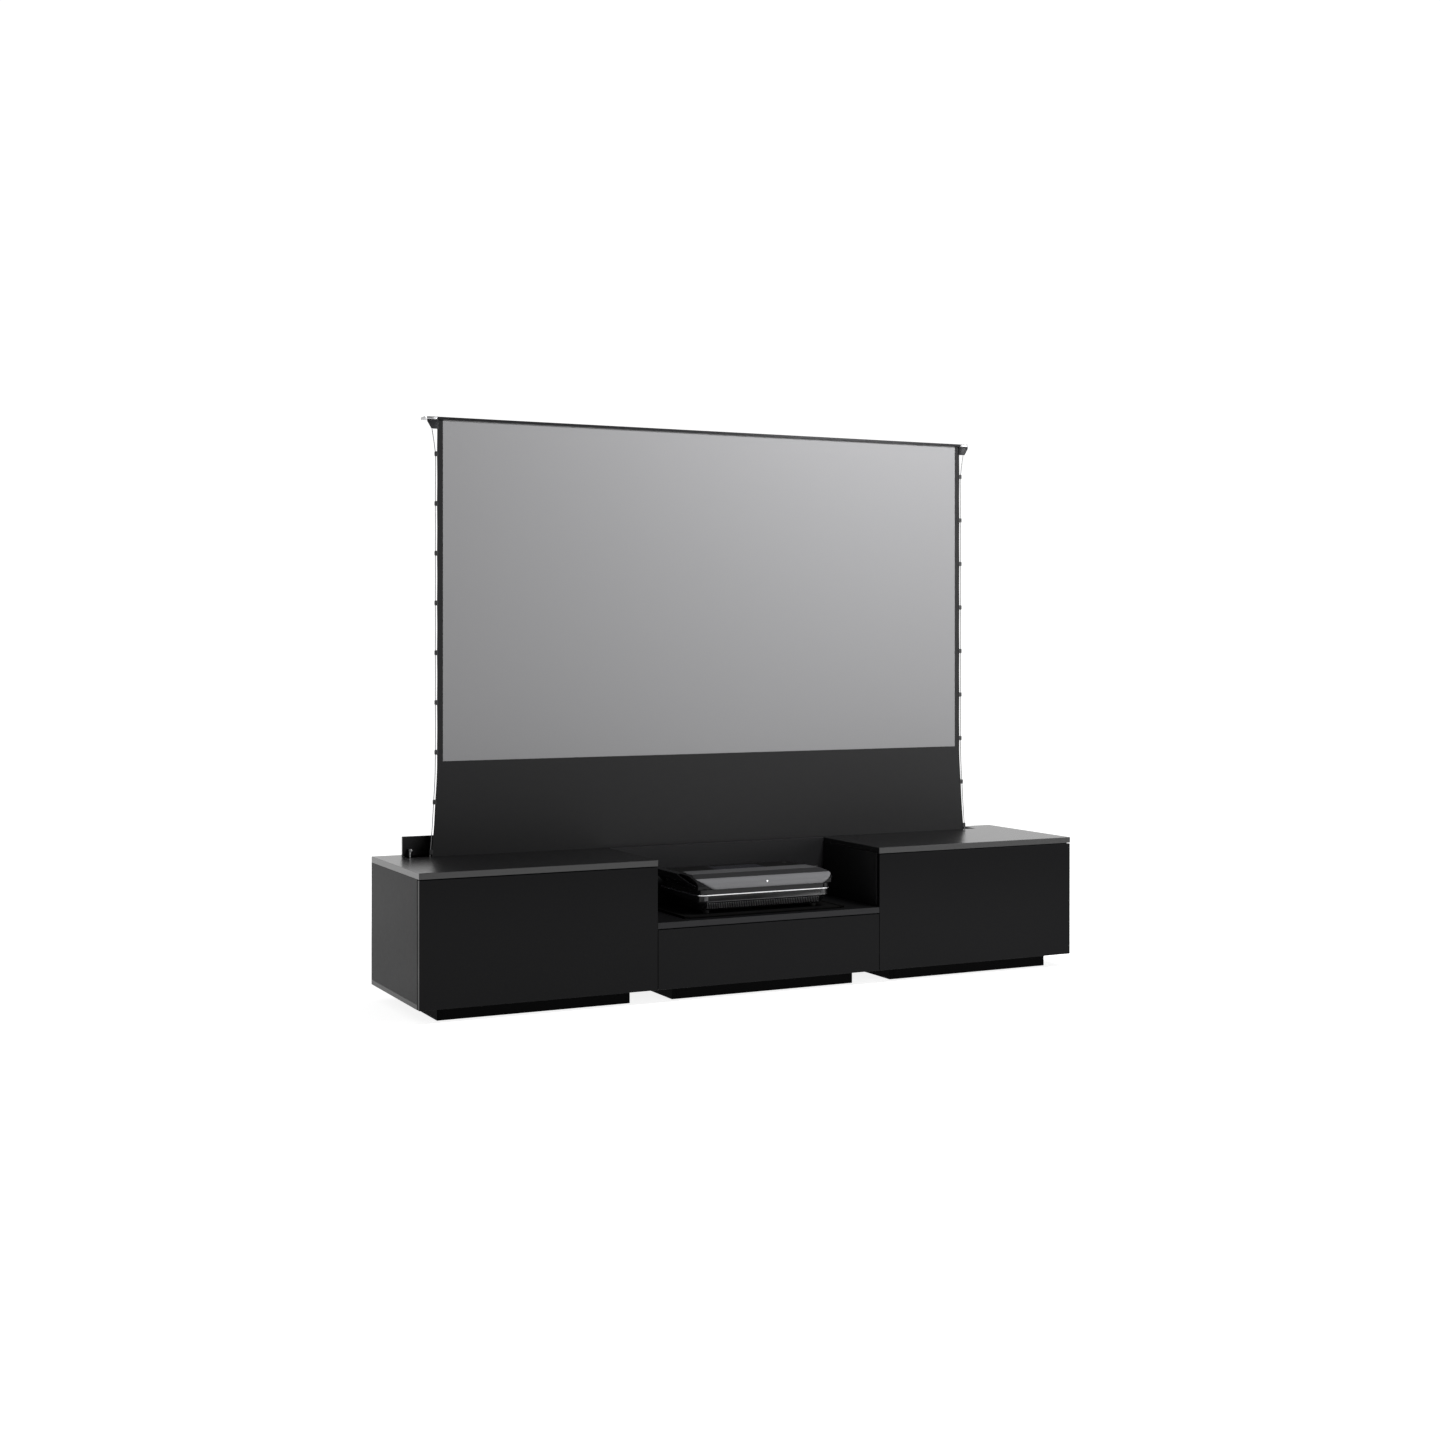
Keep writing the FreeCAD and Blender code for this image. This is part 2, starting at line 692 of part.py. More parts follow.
def bar_fittings():
    """On the bar: two end caps, two gussets for the cords, and two forks with the arms' upper pins."""
    cap = block(bar_half_length, bar_half_length + end_cap_length, bar_front_y, bar_front_y + bar_depth,
                bar_under, bar_top)
    tip = block(bar_half_length - 30.0, bar_half_length, bar_front_y + bar_wall,
                bar_front_y + bar_depth - bar_wall, bar_under + bar_wall, bar_top - bar_wall)
    foot_z = bar_under - gusset_height
    root_x = masking_half
    gusset = prism_y([(bar_half_length, bar_under), (bar_half_length, bar_under - 8.0),
                      (bar_half_length - gusset_foot + 4.0, foot_z), (root_x + 1.0, foot_z),
                      (root_x + 1.0, bar_under)],
                     bar_front_y, bar_front_y + gusset_thickness - 0.5)
    gusset = gusset.cut(block(root_x, bar_half_length, cord_centre_y() - cord_radius - 0.3,
                              cord_centre_y() + cord_radius + 0.3, foot_z - 1.0, foot_z + 0.2))
    pieces = [cap.fuse(tip), gusset]
    for y in (upper_arm_y - cheek_gap - cheek_thickness, upper_arm_y + arm_thickness + cheek_gap):
        cheek = block(arm_pivot_half_spacing - 16.0, arm_pivot_half_spacing + 16.0, y, y + cheek_thickness,
                      arm_top_height - 12.0, bar_under)
        pieces.append(cheek.cut(rod(arm_pin_radius, (arm_pivot_half_spacing, y - 1.0, arm_top_height),
                                    (0, 1, 0), cheek_thickness + 2.0)))
    pin_y = upper_arm_y - cheek_gap - cheek_thickness
    pieces.append(rod(arm_pin_radius, (arm_pivot_half_spacing, pin_y, arm_top_height), (0, 1, 0),
                      arm_thickness + 2.0 * (cheek_gap + cheek_thickness)))
    return group(pieces + [mirrored(p) for p in pieces])


def arm(y0, start, end):
    """One link: a rectangular tube with rounded ends, bored at both pivots."""
    run = V(end[0] - start[0], 0, end[1] - start[1])
    half = arm_width / 2.0
    flat = block(0.0, run.Length, 0.0, arm_thickness, -half, half)
    for x in (0.0, run.Length):
        flat = flat.fuse(rod(half, (x, 0.0, 0.0), (0, 1, 0), arm_thickness))
    flat = flat.removeSplitter()
    hollow = block(2.0 * half, run.Length - 2.0 * half, arm_wall, arm_thickness - arm_wall,
                   -half + arm_wall, half - arm_wall)
    flat = flat.cut(hollow)
    for x in (0.0, run.Length):
        flat = flat.cut(rod(arm_pin_radius + running_clearance, (x, -1.0, 0.0), (0, 1, 0), arm_thickness + 2.0))
    turn = math.degrees(math.atan2(run.z, run.x))
    flat.rotate(V(0, 0, 0), V(0, -1, 0), turn)
    flat.translate(V(start[0], y0, start[1]))
    return flat


arm_base = (arm_pivot_half_spacing, arm_base_height)
arm_elbow = (arm_pivot_half_spacing + arm_length * math.cos(math.radians(arm_raised_angle)),
             arm_base_height + arm_rise / 2.0)
arm_head = (arm_pivot_half_spacing, arm_top_height)


def lower_arm():
    """The right lower link and the elbow pin, which is pressed into it."""
    elbow_pin = rod(arm_pin_radius, (arm_elbow[0], upper_arm_y - 2.0, arm_elbow[1]), (0, 1, 0),
                    2.0 * arm_thickness + arm_gap + 3.0)
    washer = tube(arm_width / 3.0, arm_pin_radius, (arm_elbow[0], lower_arm_y - arm_gap + 0.5, arm_elbow[1]),
                  (0, 1, 0), arm_gap - 0.5)
    return group([arm(lower_arm_y, arm_base, arm_elbow), elbow_pin, washer])


def upper_arm():
    return arm(upper_arm_y, arm_elbow, arm_head)


def lift_base():
    """A block on the housing's rear wall with two forks and the arms' lower pins."""
    fork_y0 = lower_arm_y - cheek_gap - cheek_thickness
    fork_y1 = lower_arm_y + arm_thickness + cheek_gap
    half_span = arm_pivot_half_spacing + 40.0
    z0, z1 = arm_base_height - 25.0, arm_base_height + 25.0
    base = block(-half_span, half_span, fork_y1 + cheek_thickness, housing_rear_y - housing_wall, z0, z1)
    pieces = [base]
    for sign in (-1, 1):
        x = sign * arm_pivot_half_spacing
        bore = rod(arm_pin_radius, (x, fork_y0 - 1.0, arm_base_height), (0, 1, 0), 40.0)
        near = block(x - 16.0, x + 16.0, fork_y0, fork_y0 + cheek_thickness, z0, arm_base_height + 14.0)
        foot = block(x - 16.0, x + 16.0, fork_y0, fork_y1 + cheek_thickness, z0 - 4.0, z0)
        far = block(x - 16.0, x + 16.0, fork_y1, fork_y1 + cheek_thickness, z0, z1)
        pieces.append(near.fuse([foot, far]).cut(bore).removeSplitter())
        pieces.append(rod(arm_pin_radius, (x, fork_y0, arm_base_height), (0, 1, 0),
                          arm_thickness + 2.0 * (cheek_gap + cheek_thickness)))
    return group(pieces)


# ---------------------------------------------------------------- screen unit: lid
lid_back_y = slot_rear_y - lid_gap
lid_face_y = lid_back_y - lid_thickness
lid_bottom_z = height + lid_gap
lid_top_z = lid_bottom_z + slot_width - 3.0 * lid_gap
link_x = lid_left + link_setback_from_end
link_pin_y = lid_face_y - link_pin_reach
link_pin_z = height + link_pin_rise


def lid_hinge_places():
    step = (lid_right - lid_left - 300.0) / (lid_hinge_count - 1)
    return [lid_left + 150.0 + step * i for i in range(lid_hinge_count)]


def lid_hinge_recesses():
    """Pockets in the rear strip of the top, one for each fixed hinge leaf."""
    half = lid_hinge_length / 2.0
    return group([
        block(x - half, x + half, slot_rear_y - 2.0, slot_rear_y + lid_leaf_thickness,
              height - lid_leaf_width, height + 1.0)
        for x in lid_hinge_places()
    ])


def knuckle(radius, x0, x1):
    return rod(radius, (x0, lid_axis_y, lid_axis_z), (1, 0, 0), x1 - x0)


def screen_lid():
    """The lid, standing open behind the screen, with its hinge leaves and the link's bracket."""
    panel = board(lid_left, lid_right, lid_face_y, lid_back_y, lid_bottom_z, lid_top_z)
    half = lid_hinge_length / 2.0
    sixth = lid_hinge_length / 6.0
    play = lid_knuckle_play
    pieces = []
    for x in lid_hinge_places():
        pocket_top = lid_axis_z + lid_knuckle_radius + play
        panel = panel.cut(block(x - half, x + half, lid_face_y + 5.0, lid_back_y + 1.0,
                                lid_bottom_z - 1.0, pocket_top))
        leaf = block(x - half, x + half, lid_face_y + 5.0, lid_back_y, lid_bottom_z, pocket_top)
        for x0, x1 in ((x - half - 1.0, x - sixth + play), (x + sixth - play, x + half + 1.0)):
            leaf = leaf.cut(knuckle(lid_knuckle_radius + play, x0, x1))
        leaf = leaf.fuse(knuckle(lid_knuckle_radius, x - sixth + play, x + sixth - play))
        leaf = leaf.cut(knuckle(lid_pin_radius + running_clearance, x - half - 1.0, x + half + 1.0))
        pieces.append(leaf.removeSplitter())
    pieces.append(panel)
    for side in (-1, 1):
        ear = block(link_x - 1.5 + side * 6.0, link_x + 1.5 + side * 6.0, link_pin_y - 5.0, lid_face_y,
                    link_pin_z - 6.0, link_pin_z + 6.0)
        pieces.append(ear.cut(rod(2.0, (link_x - 20.0, link_pin_y, link_pin_z), (1, 0, 0), 40.0)))
    pieces.append(rod(2.0, (link_x - 9.0, link_pin_y, link_pin_z), (1, 0, 0), 18.0))
    return group(pieces)


def lid_hinge_leaves():
    """The fixed hinge leaves, let into the edge of the top's rear strip, with their pins."""
    pieces = []
    half = lid_hinge_length / 2.0
    sixth = lid_hinge_length / 6.0
    for x in lid_hinge_places():
        leaf = block(x - half, x + half, slot_rear_y, slot_rear_y + lid_leaf_thickness,
                     height - lid_leaf_width, height)
        leaf = leaf.cut(knuckle(lid_knuckle_radius + lid_knuckle_play, x - sixth, x + sixth))
        for x0, x1 in ((x - half, x - sixth), (x + sixth, x + half)):
            leaf = leaf.fuse(knuckle(lid_knuckle_radius, x0, x1))
        leaf = leaf.cut(knuckle(lid_pin_radius, x - half - 1.0, x + half + 1.0)).removeSplitter()
        pieces.append(leaf)
        pieces.append(knuckle(lid_pin_radius, x - half, x + half))
    return group(pieces)


def lid_link():
    """The push rod between the lid's bracket and the actuator."""
    eye = rod(5.0, (link_x - 4.0, link_pin_y, link_pin_z), (1, 0, 0), 8.0)
    shaft = rod(link_radius, (link_x, link_pin_y, link_pin_z - link_length), (0, 0, 1), link_length - 3.0)
    return eye.fuse(shaft).cut(rod(2.0 + running_clearance, (link_x - 10.0, link_pin_y, link_pin_z),
                                   (1, 0, 0), 20.0))


def lid_actuator():
    """A small linear actuator on the left end plate; the link's lower end stands in its open mouth."""
    top = link_pin_z - link_length + 25.0
    body = block(housing_left, link_x + 14.0, link_pin_y - 14.0, link_pin_y + 14.0, top - 90.0, top)
    mouth = block(link_x - 6.0, link_x + 6.0, link_pin_y - 10.0, link_pin_y + 7.0, top - 40.0, top + 1.0)
    return body.cut(mouth)


# ---------------------------------------------------------------- projector
def case_outline(half, y0, y1, front_radius, rear_radius, z):
    """A rounded rectangle as a closed wire, narrower corners at the rear."""
    fr, rr = front_radius, rear_radius
    x0, x1 = projector_x - half, projector_x + half
    s = math.sqrt(0.5)
    edges = []

    def line(a, b):
        edges.append(Part.LineSegment(V(*a, z), V(*b, z)).toShape())

    def arc(a, m, b):
        edges.append(Part.Arc(V(*a, z), V(*m, z), V(*b, z)).toShape())

    line((x0 + fr, y0), (x1 - fr, y0))
    arc((x1 - fr, y0), (x1 - fr + fr * s, y0 + fr - fr * s), (x1, y0 + fr))
    line((x1, y0 + fr), (x1, y1 - rr))
    arc((x1, y1 - rr), (x1 - rr + rr * s, y1 - rr + rr * s), (x1 - rr, y1))
    line((x1 - rr, y1), (x0 + rr, y1))
    arc((x0 + rr, y1), (x0 + rr - rr * s, y1 - rr + rr * s), (x0, y1 - rr))
    line((x0, y1 - rr), (x0, y0 + fr))
    arc((x0, y0 + fr), (x0 + fr - fr * s, y0 + fr - fr * s), (x0 + fr, y0))
    return Part.Wire(edges)


corner_front, corner_rear = 28.0, 28.0
upper_half = projector_width / 2.0
lower_half = upper_half - lower_inset
trim_bottom = case_bottom + trim_rise
trim_top = trim_bottom + trim_height
nose_z = case_bottom + nose_rise
grille_half = lower_half - grille_side_margin
band_y = nose_y + nose_overhang                      # front face of the lower case, behind the nose


def lower_shell(inset, z0, z1):
    """The straight-sided lower case, or its cavity when inset by the wall."""
    wire = case_outline(lower_half - inset, band_y + inset, case_rear_y - inset,
                        corner_front - inset, corner_rear - inset, z0)
    return Part.Face(wire).extrude(V(0, 0, z1 - z0))


def upper_body(inset, z0, z1):
    """The upper case, widened at its shoulders, under its nose profile; or its cavity, inset by the wall."""
    shoulder_low, shoulder_high = case_bottom + flare_start, case_bottom + flare_end

    def outline(half, z):
        return case_outline(half - inset, nose_y + inset, case_rear_y - inset,
                            corner_front - inset, corner_rear - inset, z)

    body = Part.Face(outline(lower_half, z0)).extrude(V(0, 0, shoulder_low - z0))
    body = body.fuse([
        Part.makeLoft([outline(lower_half, shoulder_low), outline(upper_half, shoulder_high)], True, True),
        Part.Face(outline(upper_half, shoulder_high)).extrude(V(0, 0, z1 - shoulder_high)),
    ])
    x0, x1 = projector_x - upper_half - 10.0, projector_x + upper_half + 10.0
    tip = (nose_y + inset, nose_z - 14.0)
    crown = (nose_y + crown_setback, case_top - inset)
    bulge = (nose_y + 7.0 + inset, case_top - 15.0 - inset)

    def at(point):
        return V(x0, point[0], point[1])

    behind, below = case_rear_y + 5.0, z0 - 5.0
    edges = [
        Part.Arc(at(tip), at(bulge), at(crown)).toShape(),
        Part.LineSegment(at(crown), at((behind, case_top - inset))).toShape(),
        Part.LineSegment(at((behind, case_top - inset)), at((behind, below))).toShape(),
        Part.LineSegment(at((behind, below)), at((nose_y + inset, below))).toShape(),
        Part.LineSegment(at((nose_y + inset, below)), at(tip)).toShape(),
    ]
    profile = Part.Face(Part.Wire(edges)).extrude(V(x1 - x0, 0, 0))
    return body.common(profile).removeSplitter()


def hood_region():
    """Everything before a line that rises from the nose to the hood's rear edge at the top."""
    rear_edge = nose_y + hood_length
    points = [(nose_y - 5.0, nose_z), (nose_y + 8.0, nose_z), (nose_y + 20.0, nose_z + 20.0),
              (rear_edge, case_top - case_wall), (rear_edge, case_top + 5.0), (nose_y - 5.0, case_top + 5.0)]
    return prism_x(points, projector_x - upper_half - 10.0, projector_x + upper_half + 10.0)


def top_region():
    return block(projector_x - upper_half + 30.0, projector_x + upper_half - 30.0, nose_y + hood_length,
                 case_rear_y - 20.0, case_top - case_wall, case_top + 5.0)


def band_region():
    """The shallow recess of the gloss band between the hood and the trim."""
    return block(projector_x - lower_half + corner_front, projector_x + lower_half - corner_front,
                 nose_y - 5.0, nose_y + band_recess, trim_top, nose_z)


def upper_shell_pieces():
    outer = upper_body(0.0, trim_top, case_top)
    inner = upper_body(case_wall, trim_top - 1.0, case_top - case_wall)
    behind_band = block(projector_x - upper_half, projector_x + upper_half, nose_y, nose_y + band_recess + case_wall,
                        trim_top - 1.0, nose_z)
    shell = outer.cut(inner.cut(behind_band))
    hood = shell.common(hood_region())
    top = shell.common(top_region())
    walls = shell.cut(hood_region()).cut(top_region()).cut(band_region())
    return hood, top, walls


def window_box(gap, z0, z1):
    return block(projector_x - window_width / 2.0 - gap, projector_x + window_width / 2.0 + gap,
                 window_rear_y - window_length - gap, window_rear_y + gap, z0, z1)


button_x = projector_x + upper_half - 70.0
button_y = case_rear_y - 60.0


def button_hole():
    return rod(button_radius + 0.3, (button_x, button_y, case_top - 10.0), (0, 0, 1), 20.0)


def side_vents(z0, z1):
    """Upright slots through both side walls."""
    slots = []
    for i in range(int((projector_depth - 167.0) / 10.0)):
        y = nose_y + 130.0 + 10.0 * i
        slots.append(block(projector_x - upper_half - 5.0, projector_x + upper_half + 5.0, y, y + 4.0, z0, z1))
    return group(slots)


def grille_opening():
    return block(projector_x - grille_half, projector_x + grille_half, band_y - 5.0,
                 band_y + case_wall + 5.0, case_bottom + grille_rise, case_bottom + grille_rise + grille_height)


def projector_base():
    """The lower case: a tub with vents, open to the grille at its front."""
    tub = lower_shell(0.0, case_bottom, trim_bottom).cut(
        lower_shell(case_wall, case_bottom + case_wall, trim_bottom + 1.0))
    return tub.cut(grille_opening()).cut(side_vents(case_bottom + 14.0, case_bottom + 44.0))


def projector_trim():
    outer = lower_shell(-trim_proud, trim_bottom, trim_top)
    return outer.cut(lower_shell(case_wall, trim_bottom - 1.0, trim_top + 1.0))


def intake_grille():
    """A plate of slanting slots in the front of the lower case."""
    clearance = 0.2
    x0 = projector_x - grille_half + clearance
    x1 = projector_x + grille_half - clearance
    z0 = case_bottom + grille_rise + clearance
    z1 = case_bottom + grille_rise + grille_height - clearance
    plate = block(x0, x1, band_y, band_y + case_wall, z0, z1)
    pitch = (x1 - x0 - 12.0) / grille_slots
    lean = 8.0
    slots = []
    for i in range(grille_slots):
        x = x0 + 4.0 + pitch * i
        slots.append(prism_y([(x, z1 - 3.0), (x + 0.55 * pitch, z1 - 3.0),
                              (x + 0.55 * pitch + lean, z0 + 3.0), (x + lean, z0 + 3.0)],
                             band_y - 1.0, band_y + case_wall + 1.0))
    return plate.cut(group(slots))


def lens_window():
    return window_box(-0.2, case_top - case_wall - 0.0, case_top - case_wall + window_thickness)


def projection_lens():
    """The lens barrel: a stack of rings of growing size that faces the mirror."""
    z = case_bottom + 52.0
    y = nose_y + 120.0
    stages = ((16.0, 50.0), (22.0, 30.0), (30.0, 26.0))
    barrel = None
    for radius, length in stages:
        ring = rod(radius, (projector_x, y, z), (0, 1, 0), length)
        barrel = ring if barrel is None else barrel.fuse(ring)
        y += length
    front_cell = Part.makeSphere(34.0, V(projector_x, y - 22.0, z)).common(
        rod(26.0, (projector_x, y, z), (0, 1, 0), 14.0))
    return barrel.fuse(front_cell)


def curved_mirror():
    """A concave mirror behind the lens that throws the picture up through the window."""
    centre = V(projector_x, case_rear_y - 157.0, case_bottom + 110.0)
    bowl = Part.makeSphere(128.0, centre).cut(Part.makeSphere(124.0, centre))
    cell = block(projector_x - 70.0, projector_x + 70.0, case_rear_y - 85.0, case_rear_y - 22.0,
                 case_bottom + 12.0, case_bottom + 96.0)
    return bowl.common(cell)


def light_engine():
    """The laser light source with its finned heat sink."""
    x0, x1 = projector_x - lower_half + 99.0, projector_x - 65.0
    y0, z0 = nose_y + 90.0, case_bottom + case_wall + 2.0
    body = block(x0, x1, y0, y0 + 120.0, z0, z0 + 66.0)
    duct = block(x1, projector_x - 18.0, y0 + 30.0, y0 + 60.0, z0 + 30.0, z0 + 62.0)
    fins = [block(x0 - 50.0, x0, y0 + 10.0 * i, y0 + 10.0 * i + 2.5, z0, z0 + 60.0) for i in range(12)]
    return body.fuse([duct] + fins)


def main_board():
    """The control board on its posts, with its larger chips."""
    x0, y0, z0 = projector_x + 70.0, nose_y + 90.0, case_bottom + case_wall + 8.0
    sheet = block(x0, x0 + 130.0, y0, y0 + 150.0, z0, z0 + 1.6)
    chips = [block(x0 + a, x0 + a + w, y0 + b, y0 + b + w, z0 + 1.6, z0 + 1.6 + h)
             for a, b, w, h in ((20.0, 20.0, 35.0, 10.0), (80.0, 30.0, 25.0, 3.0), (40.0, 90.0, 30.0, 6.0))]
    posts = [rod(3.0, (x0 + a, y0 + b, case_bottom + case_wall), (0, 0, 1), 8.0)
             for a in (8.0, 122.0) for b in (8.0, 142.0)]
    return sheet.fuse(chips + posts)


fan_x = projector_x + lower_half - 40.0
fan_y = case_rear_y - 62.0
fan_z = case_bottom + 50.0


def fan_rotor():
    hub = rod(fan_hub_radius, (0, 0, 0), (1, 0, 0), fan_width)
    rotor = hub
    for i in range(fan_blades):
        blade = block(0.0, fan_width, -1.0, 1.0, fan_hub_radius - 2.0, fan_radius)
        blade.rotate(V(fan_width / 2.0, 0, (fan_hub_radius + fan_radius) / 2.0), V(0, 0, 1), 35.0)
        blade = blade.common(block(0.0, fan_width, -20.0, 20.0, 0.0, fan_radius))
        blade.rotate(V(0, 0, 0), V(1, 0, 0), 360.0 / fan_blades * i)
        rotor = rotor.fuse(blade)
    rotor = rotor.cut(rod(2.5 + running_clearance, (-1.0, 0, 0), (1, 0, 0), fan_width - 3.0))
    rotor.translate(V(fan_x, fan_y, fan_z))
    return rotor


def fan_frame():
    """The fan's ring and its spindle, held by three spokes."""
    x0 = fan_x - 8.0
    ring = tube(fan_radius + 5.0, fan_radius + 1.5, (x0, fan_y, fan_z), (1, 0, 0), fan_width + 8.0)
    spokes = []
    for i in range(3):
        spoke = block(x0, x0 + 4.0, -3.0, 3.0, 0.0, fan_radius + 3.0)
        spoke.translate(V(0, fan_y, fan_z))
        spoke.rotate(V(x0, fan_y, fan_z), V(1, 0, 0), 120.0 * i)
        spokes.append(spoke)
    seat = rod(9.0, (x0, fan_y, fan_z), (1, 0, 0), 4.0)
    spindle = rod(2.5, (x0, fan_y, fan_z), (1, 0, 0), 8.0 + fan_width - 5.0)
    return ring.fuse(spokes + [seat, spindle])


def power_button():
    cap = rod(button_radius, (button_x, button_y, case_top - case_wall - 2.0), (0, 0, 1), case_wall + 3.0)
    flange = rod(button_radius + 2.0, (button_x, button_y, case_top - case_wall - 4.0), (0, 0, 1), 2.0)
    return cap.fuse(flange)


def projector_feet():
    feet = []
    for sx in (-1, 1):
        for y in (band_y + 45.0, case_rear_y - 45.0):
            feet.append(Part.makeCone(foot_radius - 2.0, foot_radius, foot_height,
                                      V(projector_x + sx * (lower_half - 50.0), y, tray_top), V(0, 0, 1)))
    return group(feet)


# ---------------------------------------------------------------- write every part
def main():
    os.makedirs("parts", exist_ok=True)
    hood, top, walls = upper_shell_pieces()
    right_lower = lower_arm()
    right_upper = upper_arm()
    parts = {
        "left_top_board": side_top_board("left"),
        "right_top_board": side_top_board("right"),
        "centre_top_rails": centre_top_rails(),
        "left_outer_side": outer_side("left"),
        "right_outer_side": outer_side("right"),
        "inner_side_panels": inner_side_panels(),
        "bottom_boards": bottom_boards(),
        "centre_shelf": centre_shelf(),
        "bay_panels": bay_panels(),
        "rear_panels": rear_panels(),
        "power_inlet": power_inlet(),
        "plinths": plinths(),
        "left_door": door("left"),
        "right_door": door("right"),
        "door_hinges": door_hinges(),
        "push_latch_bodies": push_latch_bodies(),
        "left_latch_plunger": latch_plunger("left"),
        "right_latch_plunger": latch_plunger("right"),
        "drawer_latch_plunger": latch_plunger("drawer"),
        "drawer_front": drawer_front(),
        "drawer_box": drawer_box(),
        "drawer_runners": drawer_runners(),
        "drawer_slides": drawer_slides(),
        "projector_tray": projector_tray(),
        "tray_runners": tray_runners(),
        "tray_slides": tray_slides(),
        "screen_housing": screen_housing(),
        "roller_tube": roller_tube(),
        "roller_motor": roller_motor(),
        "roller_bearing": roller_bearing(),
        "viewing_fabric": viewing_fabric(),
        "black_masking": black_masking(),
        "tension_cords": tension_cords(),
        "edge_clips": edge_clips(),
        "top_bar": top_bar(),
        "bar_fittings": bar_fittings(),
        "lift_base": lift_base(),
        "lower_arm_right": right_lower,
        "upper_arm_right": right_upper,
        "lower_arm_left": mirrored(right_lower),
        "upper_arm_left": mirrored(right_upper),
        "screen_lid": screen_lid(),
        "lid_hinge_leaves": lid_hinge_leaves(),
        "lid_link": lid_link(),
        "lid_actuator": lid_actuator(),
        "projector_base": projector_base(),
        "projector_trim": projector_trim(),
        "projector_upper_case": walls.cut(button_hole()),
        "projector_hood": hood,
        "projector_top_plate": top.cut(window_box(0.0, case_top - 10.0, case_top + 10.0)).cut(button_hole()),
        "lens_window": lens_window(),
        "intake_grille": intake_grille(),
        "projection_lens": projection_lens(),
        "curved_mirror": curved_mirror(),
        "light_engine": light_engine(),
        "main_board": main_board(),
        "fan_frame": fan_frame(),
        "fan_rotor": fan_rotor(),
        "power_button": power_button(),
        "projector_feet": projector_feet(),
    }
    for name, shape in parts.items():
        save(name, shape)
        state = "ok" if shape.isValid() else "INVALID"
        print(f"{name:24s} {state} solids {len(shape.Solids):3d} volume {shape.Volume / 1000.0:10.2f} cm3")
    print(f"{len(parts)} parts; arm length {arm_length:.2f}, base {arm_base}, elbow {arm_elbow}, head {arm_head}")


main()
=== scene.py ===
"""Home projector console: finishes, screen cloth, cords, projector covers, fixings and the studio stage.

It is laid out as an add-on and run as a script. Lengths are metres in the part's own frame: X to the right,
Y to the rear, Z up, with the floor at 0.
"""
import json
import math

import bmesh
import bpy
from bpy.props import FloatProperty, FloatVectorProperty, IntProperty, PointerProperty
from bpy.types import Operator, Panel, PropertyGroup
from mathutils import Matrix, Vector


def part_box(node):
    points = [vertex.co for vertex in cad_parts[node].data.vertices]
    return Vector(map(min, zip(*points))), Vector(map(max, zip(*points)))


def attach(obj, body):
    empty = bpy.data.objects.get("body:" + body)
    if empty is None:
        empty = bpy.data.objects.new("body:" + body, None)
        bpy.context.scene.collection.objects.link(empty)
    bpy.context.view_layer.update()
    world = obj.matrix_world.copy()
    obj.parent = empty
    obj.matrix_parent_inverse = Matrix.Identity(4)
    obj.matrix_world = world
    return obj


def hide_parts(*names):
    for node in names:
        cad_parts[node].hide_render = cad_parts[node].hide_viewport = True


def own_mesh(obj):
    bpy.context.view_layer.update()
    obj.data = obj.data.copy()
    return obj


bl_info = {
    "name": "Projector Console",
    "version": (1, 0, 0),
    "blender": (4, 5, 0),
    "location": "View3D > Sidebar > Console",
    "description": "Builds the visible pieces, finishes and stage of a console with a rising screen",
    "category": "Object",
}

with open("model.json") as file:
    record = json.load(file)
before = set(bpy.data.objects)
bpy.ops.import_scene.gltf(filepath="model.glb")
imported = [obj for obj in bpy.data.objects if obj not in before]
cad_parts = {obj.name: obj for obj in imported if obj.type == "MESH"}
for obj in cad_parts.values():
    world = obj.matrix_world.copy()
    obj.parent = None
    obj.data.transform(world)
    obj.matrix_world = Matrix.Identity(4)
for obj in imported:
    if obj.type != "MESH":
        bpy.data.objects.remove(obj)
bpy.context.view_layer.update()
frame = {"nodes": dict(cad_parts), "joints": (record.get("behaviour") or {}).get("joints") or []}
NODES = frame["nodes"]


def low(node):
    return Vector(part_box(node)[0])


def high(node):
    return Vector(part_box(node)[1])


# ---------------------------------------------------------------- settings
def colour(name, description, *rgb):
    return FloatVectorProperty(name=name, description=description, subtype="COLOR", size=4, default=(*rgb, 1.0))


def distance(name, description, default, **limits):
    return FloatProperty(name=name, description=description, subtype="DISTANCE", unit="LENGTH", default=default,
                         **limits)


def strength(name, description, default):
    return FloatProperty(name=name, description=description, default=default, min=0.0)


class ConsoleFinishes(PropertyGroup):
    laminate: colour("Laminate", "Colour of the matt boards", 0.010, 0.010, 0.0105)
    gloss_front: colour("Gloss fronts", "Colour of the flaps and drawer front", 0.003, 0.003, 0.0033)
    banding: colour("Edge banding", "Colour of the boards' edges", 0.006, 0.006, 0.0063)
    screen_grey: colour("Screen grey", "Colour of the picture area", 0.112, 0.112, 0.1145)
    screen_black: colour("Screen black", "Colour of the masking and drop", 0.007, 0.007, 0.0073)
    cord: colour("Cord", "Colour of the tension cords", 0.10, 0.10, 0.103)
    ribs: IntProperty(name="Intake ribs", description="Number of ribs across the projector's intake",
                      default=66, min=2)
    hood: colour("Hood", "Colour of the projector's hood", 0.06, 0.06, 0.0625)


